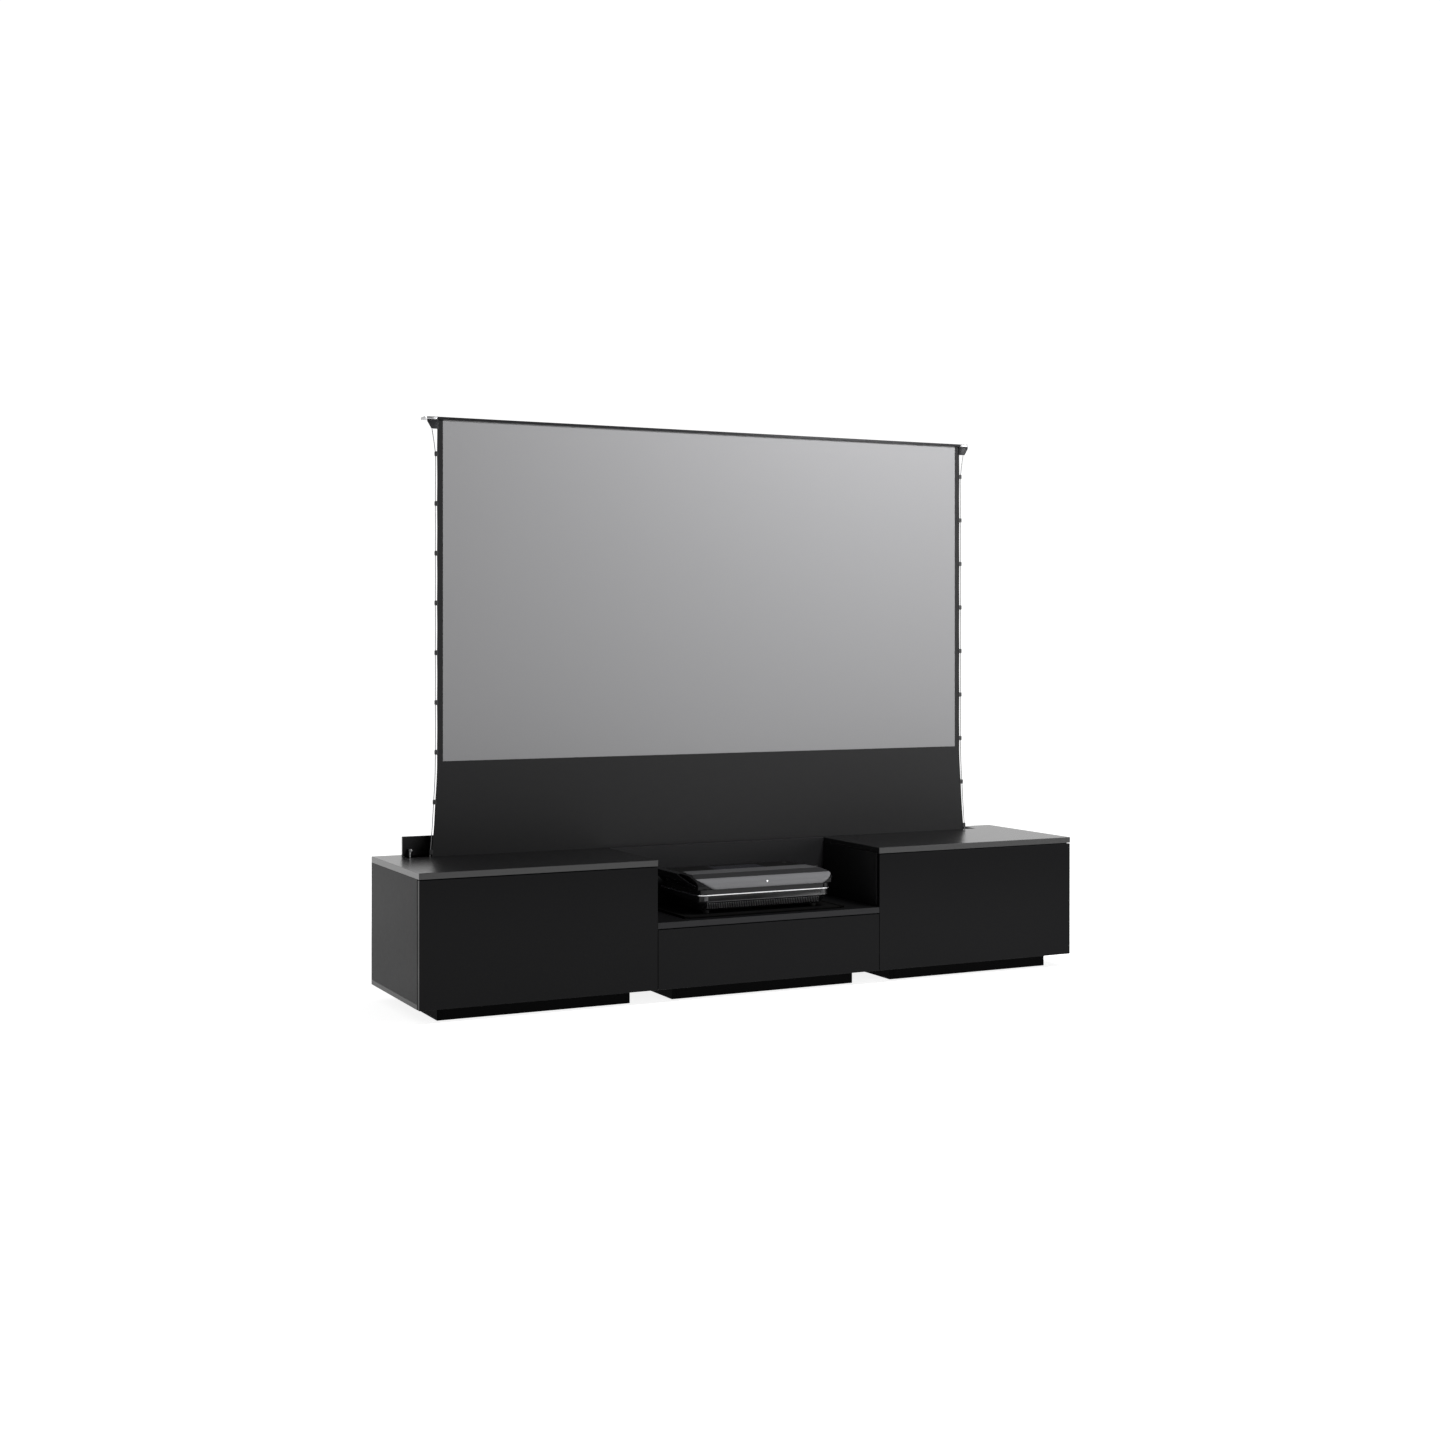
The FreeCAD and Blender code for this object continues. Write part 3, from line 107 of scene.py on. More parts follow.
class ConsoleScreen(PropertyGroup):
    border: distance("Border", "Width of the black border beside the picture", 0.0225, min=0.0)
    scallop: distance("Scallop", "How far the cloth's edge curves in between clips", 0.0008, min=0.0)
    clips: IntProperty(name="Clips", description="Number of clips down each edge", default=9, min=2)
    clip_radius: distance("Clip radius", "Half width of a clip", 0.007)
    cord_radius: distance("Cord radius", "Radius of the tension cords", 0.0015)
    cord_offset: distance("Cord offset", "Cloth's edge to the cord's middle at a clip", 0.006)


class ConsoleStage(PropertyGroup):
    camera_place: FloatVectorProperty(name="Camera place", description="Where the camera stands",
                                      subtype="TRANSLATION", unit="LENGTH", size=3,
                                      default=(-3.3116, -6.5529, 1.3056))
    camera_turn: FloatProperty(name="Camera turn", description="Turn of the level camera from straight ahead",
                               subtype="ANGLE", default=-0.4594)
    lens: FloatProperty(name="Lens", description="Focal length in millimetres", default=48.14, min=10.0)
    rise: FloatProperty(name="Rise", description="Vertical shift of the lens", default=-0.0563)
    backdrop: strength("Backdrop", "Strength of the white surroundings behind the console", 1.06)
    room: strength("Room", "Strength of the dimmer surroundings in front of the console", 0.21)
    floor_glow: strength("Floor glow", "Light that the lit floor gives back by itself", 0.86)
    key_power: strength("Key light", "Power of the upper right light in watts", 560.0)
    side_power: strength("Side light", "Power of the tall light at the right in watts", 240.0)


# ---------------------------------------------------------------- materials
def opaque(tone):
    return tuple(tone) if len(tone) == 4 else (*tone, 1.0)


class Shader:
    """A material with its Principled shader and short calls for adding nodes to it."""

    def __init__(self, name, tone, roughness, specular=0.5, metallic=0.0):
        self.material = bpy.data.materials.new(name)
        self.material.use_nodes = True
        self.nodes = self.material.node_tree.nodes
        self.links = self.material.node_tree.links
        self.surface = self.nodes["Principled BSDF"]
        self.set("Base Color", opaque(tone))
        self.set("Roughness", roughness)
        self.set("Specular IOR Level", specular)
        self.set("Metallic", metallic)
        self.coordinates = self.nodes.new("ShaderNodeTexCoord")

    def set(self, socket, value):
        self.surface.inputs[socket].default_value = value

    def plug(self, output, socket):
        self.links.new(output, self.surface.inputs[socket])

    def noise(self, scale, detail=3.0, stretch=(1.0, 1.0, 1.0)):
        """Noise on object coordinates, stretched along an axis where a finish has a direction."""
        mapping = self.nodes.new("ShaderNodeMapping")
        mapping.inputs["Scale"].default_value = stretch
        self.links.new(self.coordinates.outputs["Object"], mapping.inputs["Vector"])
        texture = self.nodes.new("ShaderNodeTexNoise")
        texture.inputs["Scale"].default_value = scale
        texture.inputs["Detail"].default_value = detail
        texture.inputs["Roughness"].default_value = 0.5
        self.links.new(mapping.outputs["Vector"], texture.inputs["Vector"])
        return texture.outputs["Fac"]

    def remap(self, value, low_out, high_out, low_in=0.3, high_in=0.7):
        node = self.nodes.new("ShaderNodeMapRange")
        for socket, number in (("From Min", low_in), ("From Max", high_in),
                               ("To Min", low_out), ("To Max", high_out)):
            node.inputs[socket].default_value = number
        self.links.new(value, node.inputs["Value"])
        return node.outputs["Result"]

    def blend(self, factor, first, second):
        node = self.nodes.new("ShaderNodeMix")
        node.data_type = "RGBA"
        self.links.new(factor, node.inputs["Factor"])
        for name, value in (("A", first), ("B", second)):
            socket = [s for s in node.inputs if s.name == name and s.type == "RGBA"][0]
            if hasattr(value, "is_linked"):
                self.links.new(value, socket)
            else:
                socket.default_value = opaque(value)
        return [s for s in node.outputs if s.type == "RGBA"][0]

    def bump(self, height, depth, share):
        node = self.nodes.new("ShaderNodeBump")
        node.inputs["Strength"].default_value = share
        node.inputs["Distance"].default_value = depth
        self.links.new(height, node.inputs["Height"])
        self.plug(node.outputs["Normal"], "Normal")

    def maths(self, operation, *values):
        node = self.nodes.new("ShaderNodeMath")
        node.operation = operation
        for socket, value in zip(node.inputs, values):
            self.links.new(value, socket)
        return node.outputs["Value"]

    def bands(self, direction, pitch):
        """Threads or ribs across an axis, one for every `pitch` metres."""
        wave = self.nodes.new("ShaderNodeTexWave")
        wave.wave_type = "BANDS"
        wave.bands_direction = direction
        wave.inputs["Scale"].default_value = math.tau / (20.0 * pitch)
        wave.inputs["Distortion"].default_value = 0.0
        self.links.new(self.coordinates.outputs["Object"], wave.inputs["Vector"])
        return wave.outputs["Fac"]

    def edge_faces(self):
        """1 on faces that stand upright, 0 on faces that lie flat."""
        parts = self.nodes.new("ShaderNodeSeparateXYZ")
        self.links.new(self.coordinates.outputs["Normal"], parts.inputs["Vector"])
        return self.remap(self.maths("ABSOLUTE", parts.outputs["Z"]), 1.0, 0.0, 0.55, 0.8)


def shade(tone, factor):
    return tuple(c * factor for c in tone[:3]) + (1.0,)


def laminate_material(name, tone, roughness=0.34, specular=0.18):
    """Matt laminate: a very fine pebble, and slow drifts in colour and gloss."""
    shader = Shader(name, tone, roughness, specular)
    drift = shader.noise(2.3, 2.0)
    shader.plug(shader.blend(drift, shade(tone, 0.93), shade(tone, 1.08)), "Base Color")
    shader.plug(shader.remap(shader.noise(60.0, 4.0), roughness - 0.012, roughness + 0.012), "Roughness")
    shader.bump(shader.noise(900.0, 2.0), 0.00002, 0.6)
    return shader.material


def banded_material(name, tone, banding, roughness=0.34, specular=0.18):
    """Laminate with smoother banding on the board's edges, in the banding colour given; where the caller makes
    it lighter than the face, that lighter colour is painted highlight along the rounded edges.
    """
    shader = Shader(name, tone, roughness, specular)
    edge = shader.edge_faces()
    drift = shader.noise(2.3, 2.0)
    face = shader.blend(drift, shade(tone, 0.8), shade(tone, 1.25))
    band = shader.blend(shader.noise(14.0, 3.0, (1.0, 1.0, 8.0)), shade(banding, 0.85), shade(banding, 1.15))
    # upright faces take the banding colour, partly real banding and partly painted highlight
    shader.plug(shader.blend(edge, face, band), "Base Color")
    shader.plug(shader.remap(edge, roughness, roughness - 0.08, 0.0, 1.0), "Roughness")
    shader.bump(shader.noise(900.0, 2.0), 0.00002, 0.6)
    return shader.material


def gloss_material(name, tone, roughness=0.06, specular=0.18):
    """High gloss lacquer or piano-black plastic with faint swirls of polish."""
    shader = Shader(name, tone, roughness, specular)
    swirls = shader.noise(6.0, 5.0, (1.0, 1.0, 0.4))
    shader.plug(shader.remap(swirls, roughness * 0.7, roughness * 1.6), "Roughness")
    shader.plug(shader.blend(shader.noise(1.4, 2.0), shade(tone, 0.85), shade(tone, 1.2)), "Base Color")
    shader.bump(shader.noise(3.0, 2.0), 0.0004, 0.08)
    return shader.material


def metal_material(name, tone, roughness, metallic=1.0, grain=(1.0, 40.0, 40.0), specular=0.5):
    """Metal with a drawn grain along X, or the direction that the stretch gives."""
    shader = Shader(name, tone, roughness, specular, metallic)
    lines = shader.noise(60.0, 3.0, grain)
    shader.plug(shader.remap(lines, roughness * 0.8, roughness * 1.25), "Roughness")
    shader.plug(shader.blend(lines, shade(tone, 0.92), shade(tone, 1.06)), "Base Color")
    shader.bump(lines, 0.00002, 0.4)
    return shader.material


def moulded_material(name, tone, roughness=0.5, specular=0.3):
    """Moulded plastic or powder coat with a fine spark texture."""
    shader = Shader(name, tone, roughness, specular)
    spark = shader.noise(1400.0, 2.0)
    shader.plug(shader.remap(spark, roughness - 0.05, roughness + 0.08), "Roughness")
    shader.plug(shader.blend(shader.noise(5.0, 2.0), shade(tone, 0.9), shade(tone, 1.12)), "Base Color")
    shader.bump(spark, 0.00003, 0.7)
    return shader.material


def cloth_material(name, tone, roughness, specular, pitch, sheen):
    """Coated cloth: a fine plain weave of crossed threads, with a soft sheen at grazing angles."""
    shader = Shader(name, tone, roughness, specular)
    threads = [shader.bands(axis, pitch) for axis in ("X", "Z")]
    weave = shader.maths("MULTIPLY", *threads)
    shader.plug(shader.blend(weave, shade(tone, 0.94), shade(tone, 1.05)), "Base Color")
    shader.bump(weave, 0.00004, 0.25)
    shader.set("Sheen Weight", sheen)
    shader.set("Sheen Roughness", 0.5)
    return shader.material


def cord_material(name, tone):
    """Braided sheath: two spirals of strands crossing round the cord."""
    shader = Shader(name, tone, 0.6, 0.3)
    strands = shader.bands("DIAGONAL", 0.0024)
    shader.plug(shader.blend(strands, shade(tone, 0.7), shade(tone, 1.15)), "Base Color")
    shader.bump(strands, 0.0001, 0.5)
    return shader.material


# ---------------------------------------------------------------- making
MERGE_DISTANCE = 0.000001


def new_object(name, mesh):
    piece = bpy.data.objects.new(name, mesh)
    bpy.context.scene.collection.objects.link(piece)
    return piece


def from_faces(name, points, faces, material):
    """A piece from points and faces, with its faces turned outwards."""
    bm = bmesh.new()
    corners = [bm.verts.new(point) for point in points]
    for face in faces:
        bm.faces.new([corners[i] for i in face])
    return from_bmesh(name, bm, material)


def mesh_of(name, bm, *materials):
    """Turns a bmesh into a mesh with its materials, and frees the bmesh."""
    mesh = bpy.data.meshes.new(name)
    bm.to_mesh(mesh)
    bm.free()
    for material in materials:
        mesh.materials.append(material)
    return mesh


def from_bmesh(name, bm, material):
    bmesh.ops.remove_doubles(bm, verts=bm.verts, dist=MERGE_DISTANCE)
    bmesh.ops.recalc_face_normals(bm, faces=bm.faces)
    return new_object(name, mesh_of(name, bm, material))


def add_prism(bm, outline, start, length):
    """Adds a solid whose outline is drawn in the plane across `length`'s direction.

    `start` turns an outline point into the near corner, and `length` is the way to the far one."""
    near = [bm.verts.new(start(point)) for point in outline]
    far = [bm.verts.new(corner.co + length) for corner in near]
    bm.faces.new(near)
    bm.faces.new(list(reversed(far)))
    for i in range(len(outline)):
        j = (i + 1) % len(outline)
        bm.faces.new([near[j], near[i], far[i], far[j]])


def prism_along_x(bm, outline, x0, x1):
    """Outline points are (y, z)."""
    add_prism(bm, outline, lambda p: Vector((x0, p[0], p[1])), Vector((x1 - x0, 0, 0)))


def prism_along_y(bm, outline, y0, y1):
    """Outline points are (x, z)."""
    add_prism(bm, outline, lambda p: Vector((p[0], y0, p[1])), Vector((0, y1 - y0, 0)))


def prism_along_z(bm, outline, z0, z1):
    """Outline points are (x, y)."""
    add_prism(bm, outline, lambda p: Vector((p[0], p[1], z0)), Vector((0, 0, z1 - z0)))


def brick(bm, x0, x1, y0, y1, z0, z1):
    prism_along_z(bm, [(x0, y0), (x1, y0), (x1, y1), (x0, y1)], z0, z1)


def ring_of(radius, z, steps):
    """Points of a level circle about the Z axis."""
    turns = [math.tau * i / steps for i in range(steps)]
    return [(radius * math.cos(turn), radius * math.sin(turn), z) for turn in turns]


def join_rings(bm, rings):
    """Faces between each ring of points and the next, where all have the same count."""
    for near, far in zip(rings, rings[1:]):
        for i in range(len(near)):
            j = (i + 1) % len(near)
            bm.faces.new([near[i], near[j], far[j], far[i]])


def skin(bm, rings):
    """A closed solid through rings of points."""
    join_rings(bm, rings)
    bm.faces.new(rings[-1])
    bm.faces.new(list(reversed(rings[0])))


def rounded_outline(x0, x1, y0, y1, corner, steps):
    """A rectangle's outline with round corners, each in `steps` parts."""
    outline = []
    for cx, cy, start in ((x1 - corner, y1 - corner, 0.0), (x0 + corner, y1 - corner, 0.25),
                          (x0 + corner, y0 + corner, 0.5), (x1 - corner, y0 + corner, 0.75)):
        for i in range(steps + 1):
            turn = math.tau * (start + 0.25 * i / steps)
            outline.append((cx + corner * math.cos(turn), cy + corner * math.sin(turn)))
    return outline


def turned(bm, profile, centre, axis, steps=24):
    """Adds a solid of revolution. Profile points are (along the axis, radius), between its closed ends."""
    turn = Vector(axis).to_track_quat("Z", "Y")
    rings = []
    for along, radius in profile:
        points = ring_of(radius, along, steps) if radius else [(0, 0, along)]
        rings.append([bm.verts.new(Vector(centre) + turn @ Vector(point)) for point in points])
    for near, far in zip(rings, rings[1:]):
        for i in range(steps):
            j = (i + 1) % steps
            corners = [near[i % len(near)], near[j % len(near)], far[j % len(far)], far[i % len(far)]]
            bm.faces.new(list(dict.fromkeys(corners)))


def soften(piece, width=0.0006, segments=2, angle=math.radians(35)):
    """Rounds a piece's hard edges and shades it smooth."""
    bevel = piece.modifiers.new("eased_edges", "BEVEL")
    bevel.width, bevel.segments, bevel.limit_method, bevel.angle_limit = width, segments, "ANGLE", angle
    bevel.harden_normals = False
    return settle(piece)


def settle(piece, crease=math.radians(40)):
    """Turns a piece's modifiers into a plain mesh, and shades it smooth except at creases."""
    bpy.context.view_layer.update()
    evaluated = piece.evaluated_get(bpy.context.evaluated_depsgraph_get())
    mesh = bpy.data.meshes.new_from_object(evaluated)
    mesh.name = piece.name
    piece.modifiers.clear()
    piece.data = mesh
    mesh.shade_smooth()
    mesh.set_sharp_from_angle(angle=crease)
    return piece


def place(piece, body, *nodes, slot):
    """The piece moves with a body and stands for CAD nodes, which it hides; `slot` is not used."""
    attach(piece, body)
    if nodes:
        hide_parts(*nodes)
    return piece


def wire(tree, *links):
    """Joins sockets, each given as (node, output, node, input)."""
    for source, output, target, socket in links:
        tree.links.new(source.outputs[output], target.inputs[socket])


def realised(tree, material):
    """The two closing nodes of a layout: realise what it makes, and give it its material."""
    realise, finish = (tree.nodes.new("GeometryNode" + kind) for kind in ("RealizeInstances", "SetMaterial"))
    finish.inputs["Material"].default_value = material
    wire(tree, (realise, "Geometry", finish, "Geometry"))
    return realise, finish


def fixing_tree(name, material):
    """Geometry Nodes that put one fixing on every point, turned to face along the point's `facing`."""
    tree = bpy.data.node_groups.new(name, "GeometryNodeTree")
    face = tree.interface
    face.new_socket("Geometry", in_out="INPUT", socket_type="NodeSocketGeometry")
    fixing = face.new_socket("Fixing", in_out="INPUT", socket_type="NodeSocketObject")
    size = face.new_socket("Size", in_out="INPUT", socket_type="NodeSocketFloat")
    size.default_value = 1.0
    face.new_socket("Geometry", in_out="OUTPUT", socket_type="NodeSocketGeometry")
    make = tree.nodes.new
    given, result = make("NodeGroupInput"), make("NodeGroupOutput")
    points, info = make("GeometryNodeMeshToPoints"), make("GeometryNodeObjectInfo")
    facing, align = make("GeometryNodeInputNamedAttribute"), make("FunctionNodeAlignRotationToVector")
    facing.data_type = "FLOAT_VECTOR"
    facing.inputs["Name"].default_value = "facing"
    align.axis = "Z"
    instances = make("GeometryNodeInstanceOnPoints")
    realise, finish = realised(tree, material)
    wire(tree, (given, "Geometry", points, "Mesh"), (given, "Fixing", info, "Object"),
         (given, "Size", instances, "Scale"), (facing, "Attribute", align, "Vector"),
         (points, "Points", instances, "Points"), (info, "Geometry", instances, "Instance"),
         (align, "Rotation", instances, "Rotation"), (instances, "Instances", realise, "Geometry"),
         (finish, "Geometry", result, "Geometry"))
    return tree, fixing.identifier, size.identifier


def repeat(name, places, fixing, material, body, *nodes, slot, size=1.0):
    """One piece made of the same fixing at many places, each given as (point, facing direction)."""
    mesh = bpy.data.meshes.new(name)
    mesh.from_pydata([tuple(point) for point, _ in places], [], [])
    facing = mesh.attributes.new("facing", "FLOAT_VECTOR", "POINT")
    for item, (_, direction) in zip(facing.data, places):
        item.vector = direction
    piece = new_object(name, mesh)
    tree, fixing_socket, size_socket = fixing_tree(name + "_layout", material)
    modifier = piece.modifiers.new("layout", "NODES")
    modifier.node_group = tree
    modifier[fixing_socket] = fixing
    modifier[size_socket] = size
    settle(piece)
    if piece.data.attributes.get("facing"):
        piece.data.attributes.remove(piece.data.attributes["facing"])
    return place(piece, body, *nodes, slot=slot)


def pattern_piece(name, build):
    """A fixing drawn at the origin with its head towards Z, for repeat() to copy. drop() removes it."""
    bm = bmesh.new()
    build(bm)
    bmesh.ops.recalc_face_normals(bm, faces=bm.faces)
    mesh = mesh_of(name, bm)
    mesh.shade_smooth()
    mesh.set_sharp_from_angle(angle=math.radians(35))
    return new_object(name, mesh)


def drop(*pieces):
    for piece in pieces:
        bpy.data.objects.remove(piece)


def hex_screw(bm):
    """A domed screw head with a six-sided socket, 10 mm across."""
    steps, socket_radius, crown, socket_floor = 12, 0.0022, 0.0028, 0.0012
    flat = math.cos(math.pi / 6.0)
    rings = [[bm.verts.new(point) for point in ring_of(radius, z, steps)]
             for radius, z in ((0.0050, 0.0), (0.0050, 0.0012), (0.0042, 0.0024), (0.0027, crown))]
    for z in (crown, socket_floor):
        socket = []
        for i in range(steps):
            radius, turn = socket_radius * (1.0 if i % 2 == 0 else flat), math.tau * i / steps
            socket.append(bm.verts.new((radius * math.cos(turn), radius * math.sin(turn), z)))
        rings.append(socket)
    skin(bm, rings)


# ---------------------------------------------------------------- boards and mechanics
def finishes():
    return bpy.context.scene.console_finishes


def dress(nodes, material):
    for node in nodes:
        mesh = NODES[node].data
        mesh.materials.clear()
        mesh.materials.append(material)


class CONSOLE_OT_finish_boards(Operator):
    """Give every board, front and plinth its laminate or gloss finish"""
    bl_idname = "console.finish_boards"
    bl_label = "Finish boards"

    def execute(self, context):
        f = finishes()
        # each board takes the laminate colour darkened by its own factor, 0.2 to 0.8, to match how lit or
        # shaded it looks: painted shade
        dress(["left_top_board", "right_top_board", "centre_top_rails"],
              banded_material("top_laminate", shade(f.laminate, 0.3), shade(f.banding, 0.7), 0.27, 0.55))
        dress(["bottom_boards", "screen_lid"],
              banded_material("board_laminate", shade(f.laminate, 0.6), f.banding, 0.3, 0.12))
        # the shelf's banding is the banding colour at 2.2 times: painted highlight on its front edge
        dress(["centre_shelf"],
              banded_material("shelf_laminate", shade(f.laminate, 0.2), shade(f.banding, 2.2), 0.5, 0.05))
        dress(["left_outer_side", "right_outer_side"],
              laminate_material("side_laminate", shade(f.laminate, 0.7), 0.36, 0.04))
        dress(["plinths"], laminate_material("plinth_laminate", shade(f.laminate, 0.2), 0.6, 0.015))
        dress(["inner_side_panels", "bay_panels", "rear_panels", "drawer_box"],
              laminate_material("inner_laminate", shade(f.laminate, 0.8), 0.42, 0.08))
        dress(["left_door", "right_door", "drawer_front"],
              gloss_material("gloss_lacquer", shade(f.gloss_front, 0.7), 0.07, 0.06))
        return {"FINISHED"}


class CONSOLE_OT_finish_mechanics(Operator):
    """Give hinges, runners, latches, arms, roller and inner pieces their metals and plastics"""
    bl_idname = "console.finish_mechanics"
    bl_label = "Finish mechanics"

    def execute(self, context):
        zinc = metal_material("zinc_plate", (0.55, 0.55, 0.56), 0.32)
        powder = moulded_material("black_powder_coat", (0.012, 0.012, 0.012), 0.5, 0.25)
        anodised = metal_material("black_anodised", (0.018, 0.018, 0.019), 0.38, 0.6, specular=0.25)
        silver = metal_material("silver_anodised", (0.62, 0.62, 0.63), 0.3)
        plastic = moulded_material("black_moulded_plastic", (0.012, 0.012, 0.012), 0.45)
        rubber = moulded_material("foot_rubber", (0.01, 0.01, 0.01), 0.8, 0.2)
        piano = gloss_material("piano_black_case", (0.004, 0.004, 0.0043), 0.14, 0.2)
        dress(["door_hinges", "drawer_runners", "drawer_slides", "lid_hinge_leaves"], zinc)
        dress(["roller_motor", "lift_base", "lid_actuator"], powder)
        dress(["projector_tray", "tray_runners", "tray_slides"],
              moulded_material("tray_black", (0.002, 0.002, 0.002), 0.7, 0.03))
        dress(["screen_housing", "roller_tube", "lower_arm_left", "lower_arm_right", "upper_arm_left",
               "upper_arm_right", "projection_lens", "light_engine"], anodised)
        dress(["lid_link", "projector_trim"], silver)
        dress(["power_inlet", "push_latch_bodies", "left_latch_plunger", "right_latch_plunger",
               "drawer_latch_plunger", "roller_bearing", "fan_frame", "fan_rotor", "power_button"],
              plastic)
        dress(["projector_feet"], rubber)
        dress(["projector_upper_case"], piano)
        dress(["curved_mirror"], metal_material("coated_mirror", (0.8, 0.8, 0.82), 0.04))
        dress(["main_board"], moulded_material("solder_mask", (0.01, 0.06, 0.025), 0.4))
        dress(["lens_window"], gloss_material("window_glass", (0.008, 0.008, 0.01), 0.03, 0.6))
        dress(["projector_top_plate"], moulded_material("top_plate_black", (0.003, 0.003, 0.003), 0.5, 0.06))
        return {"FINISHED"}


# ---------------------------------------------------------------- the screen
PICTURE_LOW, PICTURE_HIGH = low("viewing_fabric"), high("viewing_fabric")
BAR_LOW, BAR_HIGH = low("top_bar"), high("top_bar")
TOP_HEIGHT = high("left_top_board").z
THREAD_PITCH = 0.0010
JOINTS = {joint["name"]: joint for joint in frame["joints"]}
LIFT, BAR_PIVOT, ELBOW = (Vector(JOINTS[name]["pos_m"]) for name in ("lift", "bar_pivot", "left_elbow"))


def screen():
    return bpy.context.scene.console_screen


def winds_with_lift(piece):
    """Gives the piece its own copy of its mesh."""
    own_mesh(piece)


def masking_half():
    return PICTURE_HIGH.x + screen().border


def masking_edge(z):
    """Half width of the black cloth at a height: straight beside the picture, flared below it."""
    flare = high("black_masking").x - masking_half()
    share = min(1.0, max(0.0, (PICTURE_LOW.z - z) / (PICTURE_LOW.z - TOP_HEIGHT)))
    curve = 1.3
    return masking_half() + flare * share ** curve


def clip_heights():
    top, bottom = high("edge_clips").z - screen().clip_radius, low("edge_clips").z + screen().clip_radius
    return [top + (bottom - top) * i / (screen().clips - 1) for i in range(screen().clips)]


def drawn_in(z):
    """The cloth's edge curves inwards between the clips that pull it out."""
    heights = clip_heights()
    phase = (heights[0] - z) / (heights[0] - heights[1])
    return masking_edge(z) - screen().scallop * math.sin(math.pi * phase) ** 2


def cloth_piece(name, material, cells, columns, rows, y):
    """A thin closed cloth: `columns(z)` gives x values, and `cells(i, z)` says which cells are cloth."""
    backing = cloth_material(name + "_backing", (0.011, 0.011, 0.0113, 1.0), 0.6, 0.15, 0.0014, 0.02)
    bm = bmesh.new()
    grid = [[bm.verts.new((x, y, z)) for x in columns(z)] for z in rows]
    for near, far, z0, z1 in zip(grid, grid[1:], rows, rows[1:]):
        for i in range(len(near) - 1):
            if cells(i, (z0 + z1) / 2.0):
                bm.faces.new([near[i], near[i + 1], far[i + 1], far[i]])
    bmesh.ops.delete(bm, geom=[v for v in bm.verts if not v.link_faces], context="VERTS")
    area = sum(face.calc_area() for face in bm.faces)
    for face in bm.faces:
        face.normal_update()
        if face.normal.y > 0.0:
            face.normal_flip()
    piece = new_object(name, mesh_of(name, bm, material))
    thickness = piece.modifiers.new("cloth_thickness", "SOLIDIFY")
    thickness.thickness = PICTURE_HIGH.y - PICTURE_LOW.y
    thickness.offset, thickness.use_even_offset = -1.0, True
    settle(piece, math.radians(60))
    piece.data.materials.append(backing)
    for face in piece.data.polygons:
        if face.normal.y > 0.5:
            face.material_index = 1
    return piece, area


def steps_between(start, end, count):
    return [start + (end - start) * i / count for i in range(count + 1)]


class CONSOLE_OT_picture_cloth(Operator):
    """Stretch the grey cloth of the picture area"""
    bl_idname = "console.picture_cloth"
    bl_label = "Picture cloth"

    def execute(self, context):
        lap, behind_masking = 0.002, 0.00025
        half = PICTURE_HIGH.x + lap
        grey = cloth_material("picture_grey", finishes().screen_grey, 0.55, 0.35, THREAD_PITCH, 0.03)
        piece, area = cloth_piece(
            "picture_cloth", grey, lambda i, z: True, lambda z: steps_between(-half, half, 60),
            steps_between(PICTURE_LOW.z - lap, PICTURE_HIGH.z, 40), PICTURE_LOW.y + behind_masking)
        winds_with_lift(place(piece, "cabinet", "viewing_fabric", slot="screen_grey"))
        return {"FINISHED"}


class CONSOLE_OT_masking_cloth(Operator):
    """Stretch the black borders and the long black drop below the picture"""
    bl_idname = "console.masking_cloth"
    bl_label = "Masking cloth"

    def execute(self, context):
        bottom = low("black_masking").z
        middle, border = 40, 3

        def columns(z):
            inner = steps_between(-PICTURE_HIGH.x, PICTURE_HIGH.x, middle)
            outer = steps_between(PICTURE_HIGH.x, drawn_in(z), border)[1:]
            return [-x for x in reversed(outer)] + inner + outer

        def cells(i, z):
            return z < PICTURE_LOW.z or i < border or i >= border + middle

        rows = steps_between(bottom, PICTURE_LOW.z, 44) + steps_between(PICTURE_LOW.z, PICTURE_HIGH.z, 84)[1:]
        black = cloth_material("masking_black", finishes().screen_black, 0.5, 0.13, THREAD_PITCH, 0.03)
        piece, area = cloth_piece("masking_cloth", black, cells, columns, rows, PICTURE_LOW.y)
        winds_with_lift(place(piece, "cabinet", "black_masking", slot="screen_black"))
        return {"FINISHED"}


class CONSOLE_OT_tension_cords(Operator):
    """Run a tension cord down each edge of the cloth, from clip to clip"""
    bl_idname = "console.tension_cords"
    bl_label = "Tension cords"

    def execute(self, context):
        y = (PICTURE_LOW.y + PICTURE_HIGH.y) / 2.0
        tree = cord_tree("cord_sweep", cord_material("cord_sheath", finishes().cord))
        heights = clip_heights()
        step = heights[0] - heights[1]
        bar_inset, bow, foot_outward, foot_rise = 0.020, 0.6, 0.003, 0.002
        offset = screen().cord_offset
        route = [(BAR_HIGH.x - bar_inset, high("tension_cords").z - screen().cord_radius)]
        for z in heights:
            route.append((masking_edge(z) + offset, z))
            if z != heights[-1]:
                middle = z - step / 2.0
                route.append((masking_edge(middle) + offset - bow * screen().scallop, middle))
        route.append((masking_edge(TOP_HEIGHT) + offset + foot_outward, low("tension_cords").z + foot_rise))
        for side, name in ((-1.0, "left_tension_cord"), (1.0, "right_tension_cord")):
            mesh = bpy.data.meshes.new(name)
            edges = [(i, i + 1) for i in range(len(route) - 1)]
            mesh.from_pydata([(side * x, y, z) for x, z in route], edges, [])
            piece = new_object(name, mesh)
            modifier = piece.modifiers.new("sweep", "NODES")
            modifier.node_group, radius_socket = tree
            modifier[radius_socket] = screen().cord_radius
            winds_with_lift(place(settle(piece, math.radians(80)), "cabinet", "tension_cords", slot="cord"))
        return {"FINISHED"}


